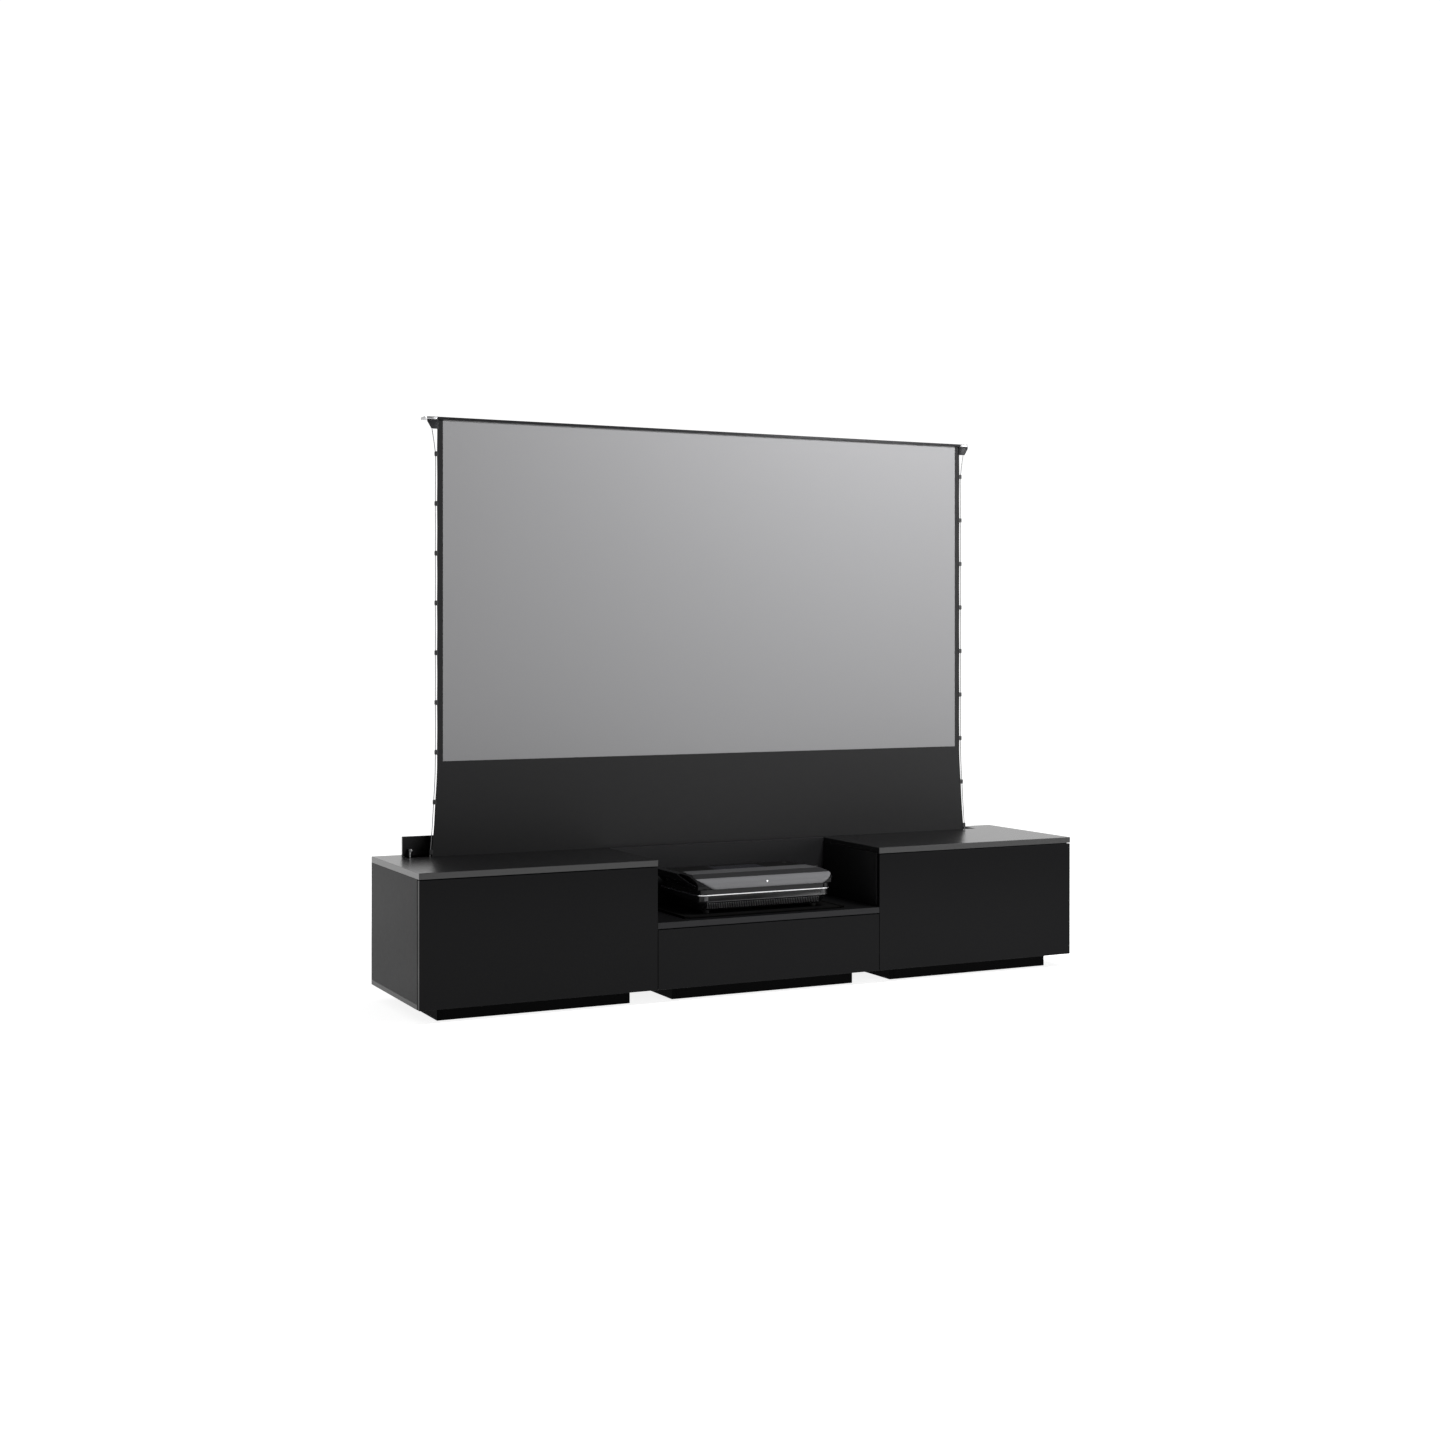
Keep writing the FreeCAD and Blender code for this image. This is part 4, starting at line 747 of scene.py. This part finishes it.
def cord_tree(name, material):
    """Geometry Nodes that sweep a round cord along the edges of a mesh, eased at its points."""
    tree = bpy.data.node_groups.new(name, "GeometryNodeTree")
    tree.interface.new_socket("Route", in_out="INPUT", socket_type="NodeSocketGeometry")
    radius = tree.interface.new_socket("Radius", in_out="INPUT", socket_type="NodeSocketFloat")
    tree.interface.new_socket("Cord", in_out="OUTPUT", socket_type="NodeSocketGeometry")
    make = tree.nodes.new
    given, result = make("NodeGroupInput"), make("NodeGroupOutput")
    curve, kind, detail, section, sweep = (make("GeometryNode" + node) for node in (
        "MeshToCurve", "CurveSplineType", "SetSplineResolution", "CurvePrimitiveCircle", "CurveToMesh"))
    kind.spline_type = "CATMULL_ROM"
    detail.inputs["Resolution"].default_value = 6
    section.inputs["Resolution"].default_value = 10
    sweep.inputs["Fill Caps"].default_value = True
    realise, finish = realised(tree, material)
    wire(tree, (given, "Route", curve, "Mesh"), (curve, "Curve", kind, "Curve"), (kind, "Curve", detail, 0),
         (given, "Radius", section, "Radius"), (detail, 0, sweep, "Curve"),
         (section, "Curve", sweep, "Profile Curve"), (sweep, "Mesh", realise, "Geometry"),
         (finish, "Geometry", result, "Cord"))
    return tree, radius.identifier


def clip_shape(bm):
    """A moulded clip with round corners, a narrower raised face and a small rivet in its middle."""
    half_width, half_height, thickness, corner = 0.007, 0.009, 0.0022, 0.004
    shoulder, rivet, rivet_top = thickness * 0.7, 0.0024, 0.0020
    outline = rounded_outline(-half_width, half_width, -half_height, half_height, corner, 3)
    prism_along_z(bm, outline, 0.0, shoulder)
    prism_along_z(bm, [(x * 0.86, y * 0.88) for x, y in outline], shoulder, thickness)
    turned(bm, [(thickness, 0.0), (thickness, rivet), (thickness + 0.0003, rivet_top),
                (thickness + 0.0005, 0.0)], (0.0, 0.0, 0.0), (0, 0, 1), 12)


class CONSOLE_OT_edge_clips(Operator):
    """Clip the cloth's edges to the cords"""
    bl_idname = "console.edge_clips"
    bl_label = "Edge clips"

    def execute(self, context):
        clip = pattern_piece("clip_pattern", clip_shape)
        off_cloth, over_cord = 0.0001, 0.003
        y = PICTURE_LOW.y - off_cloth
        plastic = moulded_material("clip_plastic", (0.012, 0.012, 0.0125), 0.42, 0.35)
        places = []
        for z in clip_heights():
            x = masking_edge(z) + screen().cord_offset - over_cord
            places += [(Vector((side * x, y, z)), (0.0, -1.0, 0.0)) for side in (-1.0, 1.0)]
        winds_with_lift(repeat("clips_on_cloth", places, clip, plastic, "cabinet", "edge_clips",
                               slot="black_plastic"))
        drop(clip)
        return {"FINISHED"}


def bar_section():
    """The bar's outline across its length, as (y, z): rounded, with two shallow grooves along its top."""
    y0, y1, z0, z1 = BAR_LOW.y, BAR_HIGH.y, BAR_LOW.z, BAR_HIGH.z
    ease, groove, depth = 0.0012, 0.004, 0.0008
    top = [(y1 - ease, z1)]
    for centre in (y1 - 0.014, y0 + 0.014):
        top += [(centre + groove, z1), (centre + groove - depth, z1 - depth),
                (centre - groove + depth, z1 - depth), (centre - groove, z1)]
    return [(y0, z0 + ease), (y0 + ease, z0), (y1 - ease, z0), (y1, z0 + ease), (y1, z1 - ease), *top,
            (y0 + ease, z1), (y0, z1 - ease)]


class CONSOLE_OT_top_bar(Operator):
    """Make the bar that carries the cloth, with its bright ends, caps, black gussets and steel forks"""
    bl_idname = "console.top_bar"
    bl_label = "Top bar"

    def execute(self, context):
        end, cap_end, bright = BAR_HIGH.x, high("bar_fittings").x, masking_half() + 0.001
        black = metal_material("bar_black", (0.014, 0.014, 0.015), 0.34, 0.5, specular=0.3)
        silver = metal_material("bar_silver", (0.55, 0.55, 0.56), 0.34)
        cap_paint = moulded_material("cap_grey", (0.42, 0.42, 0.43), 0.4, 0.4)
        bm = bmesh.new()
        prism_along_x(bm, bar_section(), -bright, bright)
        bar = soften(from_bmesh("bar_extrusion", bm, black), 0.0004)
        place(bar, "screen_bar", "top_bar", slot="dark_aluminium")
        plain = [(BAR_LOW.y, BAR_LOW.z), (BAR_HIGH.y, BAR_LOW.z),
                 (BAR_HIGH.y, BAR_HIGH.z), (BAR_LOW.y, BAR_HIGH.z)]
        for name, outline, inner, outer, finish, width, segments in (
                ("bar_bright_ends", bar_section(), bright, end, silver, 0.0004, 2),
                ("bar_end_caps", plain, end, cap_end, cap_paint, 0.002, 4)):
            bm = bmesh.new()
            for side in (-1.0, 1.0):
                prism_along_x(bm, outline, side * inner, side * outer)
            ends = soften(from_bmesh(name, bm, finish), width, segments)
            place(ends, "screen_bar", "bar_fittings", slot="silver")
        self.gussets(end, black)
        self.forks()
        return {"FINISHED"}

    def gussets(self, end, finish):
        """Black triangles under the bar's ends, which hold the cords' upper ends."""
        foot = high("tension_cords").z
        root = masking_half() - 0.004
        thickness, lip, slant, screw_drop, screw_inset = 0.0014, 0.008, 0.016, 0.007, 0.009
        front, back = BAR_LOW.y, BAR_LOW.y + thickness
        outline = [(end, BAR_LOW.z), (end, BAR_LOW.z - lip), (end - slant, foot),
                   (root, foot), (root, BAR_LOW.z)]
        bm = bmesh.new()
        for side in (-1.0, 1.0):
            prism_along_y(bm, [(side * x, z) for x, z in outline], front, back)
        place(soften(from_bmesh("cord_gussets", bm, finish), 0.0006),
              "screen_bar", "bar_fittings", slot="black_steel")
        screw = pattern_piece("gusset_screw", hex_screw)
        places = [(Vector((side * x, front, BAR_LOW.z - screw_drop)), (0.0, -1.0, 0.0))
                  for side in (-1.0, 1.0) for x in (root + screw_inset, end - screw_inset)]
        black = metal_material("screw_black", (0.05, 0.05, 0.05), 0.3)
        repeat("gusset_screws", places, screw, black, "screen_bar", slot="black_steel", size=0.45)
        drop(screw)

    def forks(self):
        """Steel cheeks that hang from the bar, each pair with a headed pin through an upper arm."""
        steel = metal_material("fork_steel", (0.5, 0.5, 0.51), 0.3)
        arm_y = low("upper_arm_left").y, high("upper_arm_left").y
        gap, cheek, half, ease = 0.001, 0.003, 0.016, 0.005
        shoulder, foot, pin, head, head_height = 0.004, 0.012, 0.0045, 0.006, 0.0012
        cheeks, pins = bmesh.new(), bmesh.new()
        for side in (-1.0, 1.0):
            x, z = side * abs(BAR_PIVOT.x), BAR_PIVOT.z
            outline = [(x - half, BAR_LOW.z), (x - half, z - shoulder), (x - half + ease, z - foot),
                       (x + half - ease, z - foot), (x + half, z - shoulder), (x + half, BAR_LOW.z)]
            prism_along_y(cheeks, outline, arm_y[0] - gap - cheek, arm_y[0] - gap)
            prism_along_y(cheeks, outline, arm_y[1] + gap, arm_y[1] + gap + cheek)
            reach = arm_y[1] - arm_y[0] + 2.0 * (gap + cheek)
            turned(pins, [(0.0, 0.0), (0.0, 0.0052), (head_height, head), (head_height, pin), (reach, pin),
                          (reach, 0.0)],
                   (x, arm_y[0] - gap - cheek - head_height, z), (0, 1, 0))
        for name, bm, width, segments in (("arm_forks", cheeks, 0.0005, 2), ("fork_pins", pins, 0.0002, 1)):
            fitting = soften(from_bmesh(name, bm, steel), width, segments)
            place(fitting, "screen_bar", "bar_fittings", slot="steel")


# ---------------------------------------------------------------- the projector
CASE_LOW, CASE_HIGH = low("projector_base"), high("projector_base")
HOOD_LOW, HOOD_HIGH = low("projector_hood"), high("projector_hood")
CASE_MIDDLE = (CASE_LOW.x + CASE_HIGH.x) / 2.0
HOOD_TOP = HOOD_HIGH.z + 0.001


def hood_profile():
    """The hood as (y, z) points: from its rear edge over the shoulder and the nose, to under its lip."""
    nose, top, lip = HOOD_LOW.y, HOOD_TOP, HOOD_LOW.z
    return [(nose + 0.187, top), (nose + 0.150, top + 0.0002), (nose + 0.110, top + 0.0002),
            (nose + 0.088, top),
            (nose + 0.0815, top - 0.0006), (nose + 0.076, top - 0.0026), (nose + 0.068, top - 0.0042),
            (nose + 0.050, top - 0.0078), (nose + 0.034, top - 0.0110), (nose + 0.020, top - 0.0150),
            (nose + 0.0100, top - 0.0205), (nose + 0.0038, top - 0.0275), (nose + 0.0008, top - 0.0350),
            (nose + 0.0002, top - 0.0420), (nose + 0.0006, lip + 0.0022), (nose + 0.0022, lip + 0.0004),
            (nose + 0.0060, lip - 0.0002), (nose + 0.0120, lip + 0.0004)]


def hood_point(share, row, y, z):
    """A point of the hood: `share` runs from -1 at its left end to 1 at its right end."""
    top_half, shoulder_growth, shoulder_depth, tuck, tuck_curve = 0.270, 0.0125, 0.008, 0.052, 1.3
    round_start, round_width, round_depth, end_fall, nose_row = 0.93, 0.07, 0.012, 0.004, 11.0
    depth = HOOD_TOP - z
    under = max(0.0, (depth - 0.010) / (HOOD_HIGH.z - HOOD_LOW.z - 0.009))
    half = top_half + shoulder_growth * min(1.0, depth / shoulder_depth) - tuck * under ** tuck_curve
    end = max(0.0, (abs(share) - round_start) / round_width)
    fall = 1.0 - math.sqrt(max(0.0, 1.0 - end * end))
    middle = CASE_MIDDLE + 0.008 + 0.006 * under
    shoulder = min(1.0, row / nose_row)
    back = round_depth * fall * shoulder * (1.0 - 0.7 * under)
    return middle + half * share, y + back, z - end_fall * fall * (1.0 - shoulder)


class CONSOLE_OT_projector_hood(Operator):
    """Form the projector's hood: a flat top strip, a shoulder and a rounded graphite nose, with painted shade
    on the strip and the shoulder
    """
    bl_idname = "console.projector_hood"
    bl_label = "Projector hood"

    def execute(self, context):
        tone = finishes().hood
        profile = hood_profile()
        bm = bmesh.new()
        half_count = 32
        shares = [math.sin(math.pi / 2.0 * i / half_count) for i in range(-half_count, half_count + 1)]
        grid = [[bm.verts.new(hood_point(share, row, y, z)) for share in shares]
                for row, (y, z) in enumerate(profile)]
        strip_rows, shoulder_rows = 3, 8
        for row, (near, far) in enumerate(zip(grid, grid[1:])):
            for i in range(len(shares) - 1):
                face = bm.faces.new([near[i], far[i], far[i + 1], near[i + 1]])
                face.material_index = 1 if row < strip_rows else 2 if row < shoulder_rows else 0
        # the top strip and the shoulder take the hood colour at 0.5 and 0.16, for how light falls on each band:
        # painted shade
        mesh = mesh_of("hood_shell", bm, gloss_material("hood_graphite", tone, 0.3, 0.35),
                       moulded_material("hood_strip", shade(tone, 0.5), 0.36, 0.35),
                       moulded_material("hood_shoulder", shade(tone, 0.16), 0.45, 0.15))
        shell = new_object("hood_shell", mesh)
        wall = shell.modifiers.new("wall", "SOLIDIFY")
        wall.thickness, wall.offset, wall.use_even_offset = 0.0022, -1.0, True
        place(settle(shell, math.radians(32)), "projector", "projector_hood", slot="hood_grey")
        self.core()
        self.status_light()
        return {"FINISHED"}

    def core(self):
        """The black body under the hood, which shows at its ends."""
        nose, top, lip = HOOD_LOW.y, HOOD_HIGH.z, HOOD_LOW.z
        # (y, z): up the front, over the shoulder to the rear edge, and back underneath
        outline = [(nose + 0.0075, lip + 0.0004), (nose + 0.0055, lip + 0.014), (nose + 0.0105, top - 0.026),
                   (nose + 0.024, top - 0.0175), (nose + 0.050, top - 0.0112), (nose + 0.080, top - 0.0048),
                   (nose + 0.100, top - 0.0025), (nose + 0.1465, top - 0.0025), (nose + 0.1465, top - 0.008),
                   (nose + 0.0225, lip + 0.019), (nose + 0.010, lip + 0.0004)]
        bm = bmesh.new()
        inset = 0.019
        reach = (HOOD_HIGH.x - HOOD_LOW.x) / 2.0 - inset
        prism_along_x(bm, outline, CASE_MIDDLE - reach, CASE_MIDDLE + reach)
        piece = from_bmesh("hood_core", bm, gloss_material("core_black", (0.004, 0.004, 0.0042), 0.2, 0.1))
        place(soften(piece, 0.0015, 3), "projector", "projector_hood", slot="case_gloss")

    def status_light(self):
        """A small round light set in the middle of the nose."""
        seat = Vector((CASE_MIDDLE + 0.004, HOOD_LOW.y + 0.0028, HOOD_TOP - 0.0285))
        out = Vector((0.0, -0.95, 0.32)).normalized()
        ring = [(-0.002, 0.0), (-0.002, 0.0042), (0.0008, 0.0042), (0.0012, 0.0036), (0.0012, 0.0)]
        lens = [(-0.001, 0.0), (-0.001, 0.0027), (0.0013, 0.0027), (0.0019, 0.0018), (0.0022, 0.0)]
        silver = metal_material("ring_silver", (0.6, 0.6, 0.61), 0.25)
        white = gloss_material("status_white", (0.75, 0.75, 0.77), 0.15, 0.5)
        for name, profile, steps, finish, slot in (("status_ring", ring, 24, silver, "silver"),
                                                   ("status_lens", lens, 20, white, "window")):
            bm = bmesh.new()
            turned(bm, profile, seat, out, steps)
            place(settle(from_bmesh(name, bm, finish)), "projector", slot=slot)


def slope_point(x, share):
    """A point on the lower case's slanting front: share 0 at its lower edge, 1 at its upper edge."""
    top, bottom = (CASE_LOW.y + 0.0015, CASE_HIGH.z - 0.0245), (CASE_LOW.y + 0.032, CASE_LOW.z)
    return Vector((x, bottom[0] + (top[0] - bottom[0]) * share, bottom[1] + (top[1] - bottom[1]) * share))


class CONSOLE_OT_projector_case(Operator):
    """Form the lower case, with a gloss band, a slanting front below it and the ribbed intake"""
    bl_idname = "console.projector_case"
    bl_label = "Projector case"

    def execute(self, context):
        x0, x1, y0, y1 = CASE_LOW.x, CASE_HIGH.x, CASE_LOW.y, CASE_HIGH.y
        z0, z1, corner = CASE_LOW.z, CASE_HIGH.z, 0.024
        bm = bmesh.new()
        # each level: its height, how far its front is set back, and how far its sides are drawn in
        levels = ((z1 - 0.0002, 0.0, 0.0), (z1 - 0.0215, 0.0, 0.0), (z1 - 0.0232, -0.0006, 0.0004),
                  (z1 - 0.0245, 0.0015, 0.0015), (z0 + 0.004, 0.029, 0.014), (z0, 0.032, 0.017))
        rings = []
        for z, front, side in reversed(levels):
            outline = rounded_outline(x0 + side, x1 - side, y0 + front, y1 - side * 0.6, corner, 6)
            rings.append([bm.verts.new((x, y, z)) for x, y in outline])
        skin(bm, rings)
        case = from_bmesh("lower_case", bm, gloss_material("case_black", (0.005, 0.005, 0.0053), 0.16, 0.25))
        place(settle(case, math.radians(25)), "projector", "projector_base", slot="case_gloss")
        self.posts(y0, z1)
        self.intake()
        return {"FINISHED"}

    def posts(self, front, top):
        """Upright ends of the gloss band, left and right, and the lip line between them, made grey as painted
        highlight along these edges.
        """
        inner, outer, lip_end = 0.236, 0.252, 0.240
        bm = bmesh.new()
        for side in (-1.0, 1.0):
            brick(bm, CASE_MIDDLE + side * inner, CASE_MIDDLE + side * outer, front - 0.0008, front + 0.004,
                  top - 0.020, top - 0.001)
        brick(bm, CASE_MIDDLE - lip_end, CASE_MIDDLE + lip_end, front - 0.0012, front + 0.002,
              top - 0.0245, top - 0.0222)
        # the grey of the posts and the lip line is painted highlight on the band's edges
        grey = metal_material("post_grey", (0.05, 0.05, 0.052), 0.4, 0.6, specular=0.3)
        place(soften(from_bmesh("band_posts", bm, grey), 0.0006), "projector", slot="dark_aluminium")

    def intake(self):
        """A matt black backing on the slanting front, with leaning ribs over it."""
        half, count = 0.238, finishes().ribs
        out = (slope_point(0.0, 1.0) - slope_point(0.0, 0.0)).normalized().cross(Vector((-1, 0, 0)))
        sunk, proud, margin, middle = 0.0002, 0.0006, 0.006, 0.535
        near = [slope_point(CASE_MIDDLE + side * half, share) + out * sunk
                for side, share in ((-1, 0.14), (1, 0.14), (1, 0.93), (-1, 0.93))]
        far = [corner + out * proud for corner in near]
        faces = [(0, 1, 2, 3), (7, 6, 5, 4)] + [(i, (i + 1) % 4, 4 + (i + 1) % 4, 4 + i) for i in range(4)]
        backing = from_faces("intake_backing", near + far, faces,
                             moulded_material("intake_black", (0.003, 0.003, 0.003), 0.8, 0.05))
        place(settle(backing), "projector", "intake_grille", slot="black_plastic")
        rib = pattern_piece("rib_pattern", intake_rib)
        places = []
        for i in range(count):
            x = CASE_MIDDLE - half + margin + (2.0 * half - 2.0 * margin) * i / (count - 1)
            places.append((slope_point(x, middle) + out * (sunk + proud), tuple(out)))
        grey = moulded_material("rib_grey", (0.09, 0.09, 0.092), 0.35, 0.5)
        repeat("intake_ribs", places, rib, grey, "projector", "intake_grille", slot="black_plastic")
        drop(rib)


def intake_rib(bm):
    """One leaning rib, with a sloped top."""
    width, height, lean, proud = 0.0028, 0.030, 0.008, 0.0016
    foot = [(-width / 2 + lean / 2, -height / 2), (width / 2 + lean / 2, -height / 2),
            (width / 2 - lean / 2, height / 2), (-width / 2 - lean / 2, height / 2)]
    skin(bm, [[bm.verts.new((x, y, 0.0)) for x, y in foot],
              [bm.verts.new((x * 0.9, y * 0.94, proud)) for x, y in foot]])


# ---------------------------------------------------------------- fixings
class CONSOLE_OT_fixings(Operator):
    """Set the screws and pivot caps that show outside and behind the console"""
    bl_idname = "console.fixings"
    bl_label = "Fixings"

    def execute(self, context):
        zinc = metal_material("screw_zinc", (0.5, 0.5, 0.51), 0.28)
        dark = metal_material("screw_dark", (0.06, 0.06, 0.062), 0.32, 0.8)
        screw, cap = pattern_piece("screw_pattern", hex_screw), pattern_piece("cap_pattern", pivot_cap)
        self.rear_screws(screw, dark)
        self.arm_caps(cap, zinc)
        self.link_head(cap, zinc)
        drop(screw, cap)
        return {"FINISHED"}

    def rear_screws(self, screw, material):
        """Along the upper and lower edges of the rear panels."""
        lowest, highest = low("rear_panels"), high("rear_panels")
        margin, count, sunk = 0.022, 13, 0.0024
        places = []
        for i in range(count):
            x = lowest.x + margin + (highest.x - lowest.x - 2.0 * margin) * i / (count - 1)
            places += [(Vector((x, highest.y - sunk, z)), (0.0, 1.0, 0.0))
                       for z in (lowest.z + margin, highest.z - margin)]
        repeat("rear_screws", places, screw, material, "cabinet", slot="black_steel", size=0.8)

    def arm_caps(self, cap, material):
        """A cap on the back of each elbow and shoulder pin."""
        for side, name in ((-1.0, "left"), (1.0, "right")):
            back = high("lower_arm_" + name).y
            pins = [(Vector((side * abs(pin.x), back, pin.z)), (0.0, 1.0, 0.0)) for pin in (ELBOW, LIFT)]
            repeat(name + "_arm_caps", pins, cap, material, name + "_lower_link", slot="steel")

    def link_head(self, cap, material):
        """The round head of the pin that joins the link to the lid."""
        lowest, highest = low("lid_link"), high("lid_link")
        below_top = 0.006
        head = Vector(((lowest.x + highest.x) / 2.0, lowest.y, highest.z - below_top))
        repeat("link_head", [(head, (0.0, -1.0, 0.0))], cap, material, "link", slot="silver", size=0.65)


def pivot_cap(bm):
    """A turned cap with a chamfer and a shallow dimple, 18 mm across."""
    turned(bm, [(0.0, 0.0), (0.0, 0.009), (0.0014, 0.009), (0.0022, 0.0080), (0.0022, 0.0048),
                (0.0014, 0.0040), (0.0014, 0.0)], (0.0, 0.0, 0.0), (0, 0, 1))


# ---------------------------------------------------------------- stage
def surroundings(backdrop, room):
    """White behind the console and for the camera, and dimmer in front, so that dark gloss stays dark."""
    world = bpy.data.worlds.new("white_surroundings")
    world.use_nodes = True
    nodes, link = world.node_tree.nodes, world.node_tree.links.new
    coordinates, parts = nodes.new("ShaderNodeTexCoord"), nodes.new("ShaderNodeSeparateXYZ")
    rise, path, choice = (nodes.new("ShaderNode" + kind) for kind in ("MapRange", "LightPath", "Mix"))
    # the brightness rises with a direction's Y, from a little in front of sideways to well behind
    for socket, value in (("From Min", -0.1), ("From Max", 0.5), ("To Min", room), ("To Max", backdrop)):
        rise.inputs[socket].default_value = value
    link(coordinates.outputs["Generated"], parts.inputs["Vector"])
    link(parts.outputs["Y"], rise.inputs["Value"])
    link(path.outputs["Is Camera Ray"], choice.inputs["Factor"])
    link(rise.outputs["Result"], choice.inputs["A"])
    choice.inputs["B"].default_value = backdrop
    link(choice.outputs["Result"], nodes["Background"].inputs["Strength"])
    nodes["Background"].inputs["Color"].default_value = (1.0, 1.0, 1.0, 1.0)
    return world


def soft_light(name, place_at, aim_at, width, height, power, shows_in_gloss):
    """A rectangular area light, in metres and watts."""
    light = bpy.data.lights.new(name, "AREA")
    light.shape, light.size, light.size_y, light.energy = "RECTANGLE", width, height, power
    lamp = bpy.data.objects.new(name, light)
    lamp.location = place_at
    lamp.rotation_euler = (Vector(aim_at) - Vector(place_at)).to_track_quat("-Z", "Y").to_euler()
    lamp.visible_glossy = shows_in_gloss
    bpy.context.scene.collection.objects.link(lamp)


class CONSOLE_OT_set_stage(Operator):
    """Set up the pale floor, the white surroundings, the key light and the camera"""
    bl_idname = "console.set_stage"
    bl_label = "Set stage"

    def execute(self, context):
        scene = context.scene
        s = scene.console_stage
        floor_size, floor_centre = 60.0, (0.0, 6.0, -0.0005)
        bpy.ops.mesh.primitive_plane_add(size=floor_size, location=floor_centre)
        floor = context.object
        floor.name = "studio_floor"
        paint = Shader("pale_floor", (0.4, 0.4, 0.4), 0.9, 0.0)
        paint.set("Emission Color", (1.0, 1.0, 1.0, 1.0))
        paint.set("Emission Strength", s.floor_glow)
        floor.data.materials.append(paint.material)
        scene.world = surroundings(s.backdrop, s.room)
        soft_light("key_light", place_at=(1.2, -1.9, 4.4), aim_at=(0.5, 0.18, 1.6), width=1.4, height=1.0,
                   power=s.key_power, shows_in_gloss=False)
        soft_light("side_light", place_at=(6.0, -6.2, 2.3), aim_at=(0.6, 0.0, 1.5), width=2.6, height=3.0,
                   power=s.side_power, shows_in_gloss=True)

        camera = bpy.data.cameras.new("studio_camera")
        camera.lens, camera.sensor_width, camera.shift_y = s.lens, 36.0, s.rise
        camera.shift_x = -0.0004
        camera.clip_end = 200.0
        camera_object = bpy.data.objects.new("studio_camera", camera)
        camera_object.location = s.camera_place
        camera_object.rotation_euler = (math.pi / 2.0, 0.0, s.camera_turn)
        scene.collection.objects.link(camera_object)
        scene.camera = camera_object
        scene.view_settings.view_transform = "Standard"
        return {"FINISHED"}


class CONSOLE_PT_panel(Panel):
    """Lists the build steps and their settings"""
    bl_label = "Projector Console"
    bl_idname = "CONSOLE_PT_panel"
    bl_space_type = "VIEW_3D"
    bl_region_type = "UI"
    bl_category = "Console"

    def draw(self, context):
        for group in (getattr(context.scene, name) for name in GROUPS):
            box = self.layout.box()
            for name in group.bl_rna.properties.keys():
                if name not in {"rna_type", "name"}:
                    box.prop(group, name)
        for step in STEPS:
            self.layout.operator(step.bl_idname)


STEPS = (CONSOLE_OT_finish_boards, CONSOLE_OT_finish_mechanics, CONSOLE_OT_picture_cloth,
         CONSOLE_OT_masking_cloth, CONSOLE_OT_tension_cords, CONSOLE_OT_edge_clips, CONSOLE_OT_top_bar,
         CONSOLE_OT_projector_hood, CONSOLE_OT_projector_case, CONSOLE_OT_fixings, CONSOLE_OT_set_stage)
GROUPS = {"console_finishes": ConsoleFinishes, "console_screen": ConsoleScreen, "console_stage": ConsoleStage}


def register():
    for cls in (*GROUPS.values(), *STEPS, CONSOLE_PT_panel):
        bpy.utils.register_class(cls)
    for name, cls in GROUPS.items():
        setattr(bpy.types.Scene, name, PointerProperty(type=cls))


def unregister():
    for name in GROUPS:
        delattr(bpy.types.Scene, name)
    for cls in (CONSOLE_PT_panel, *reversed(STEPS), *GROUPS.values()):
        bpy.utils.unregister_class(cls)


def main():
    register()
    for step in STEPS:
        group, call = step.bl_idname.split(".")
        getattr(getattr(bpy.ops, group), call)()


if __name__ == "__main__":
    main()
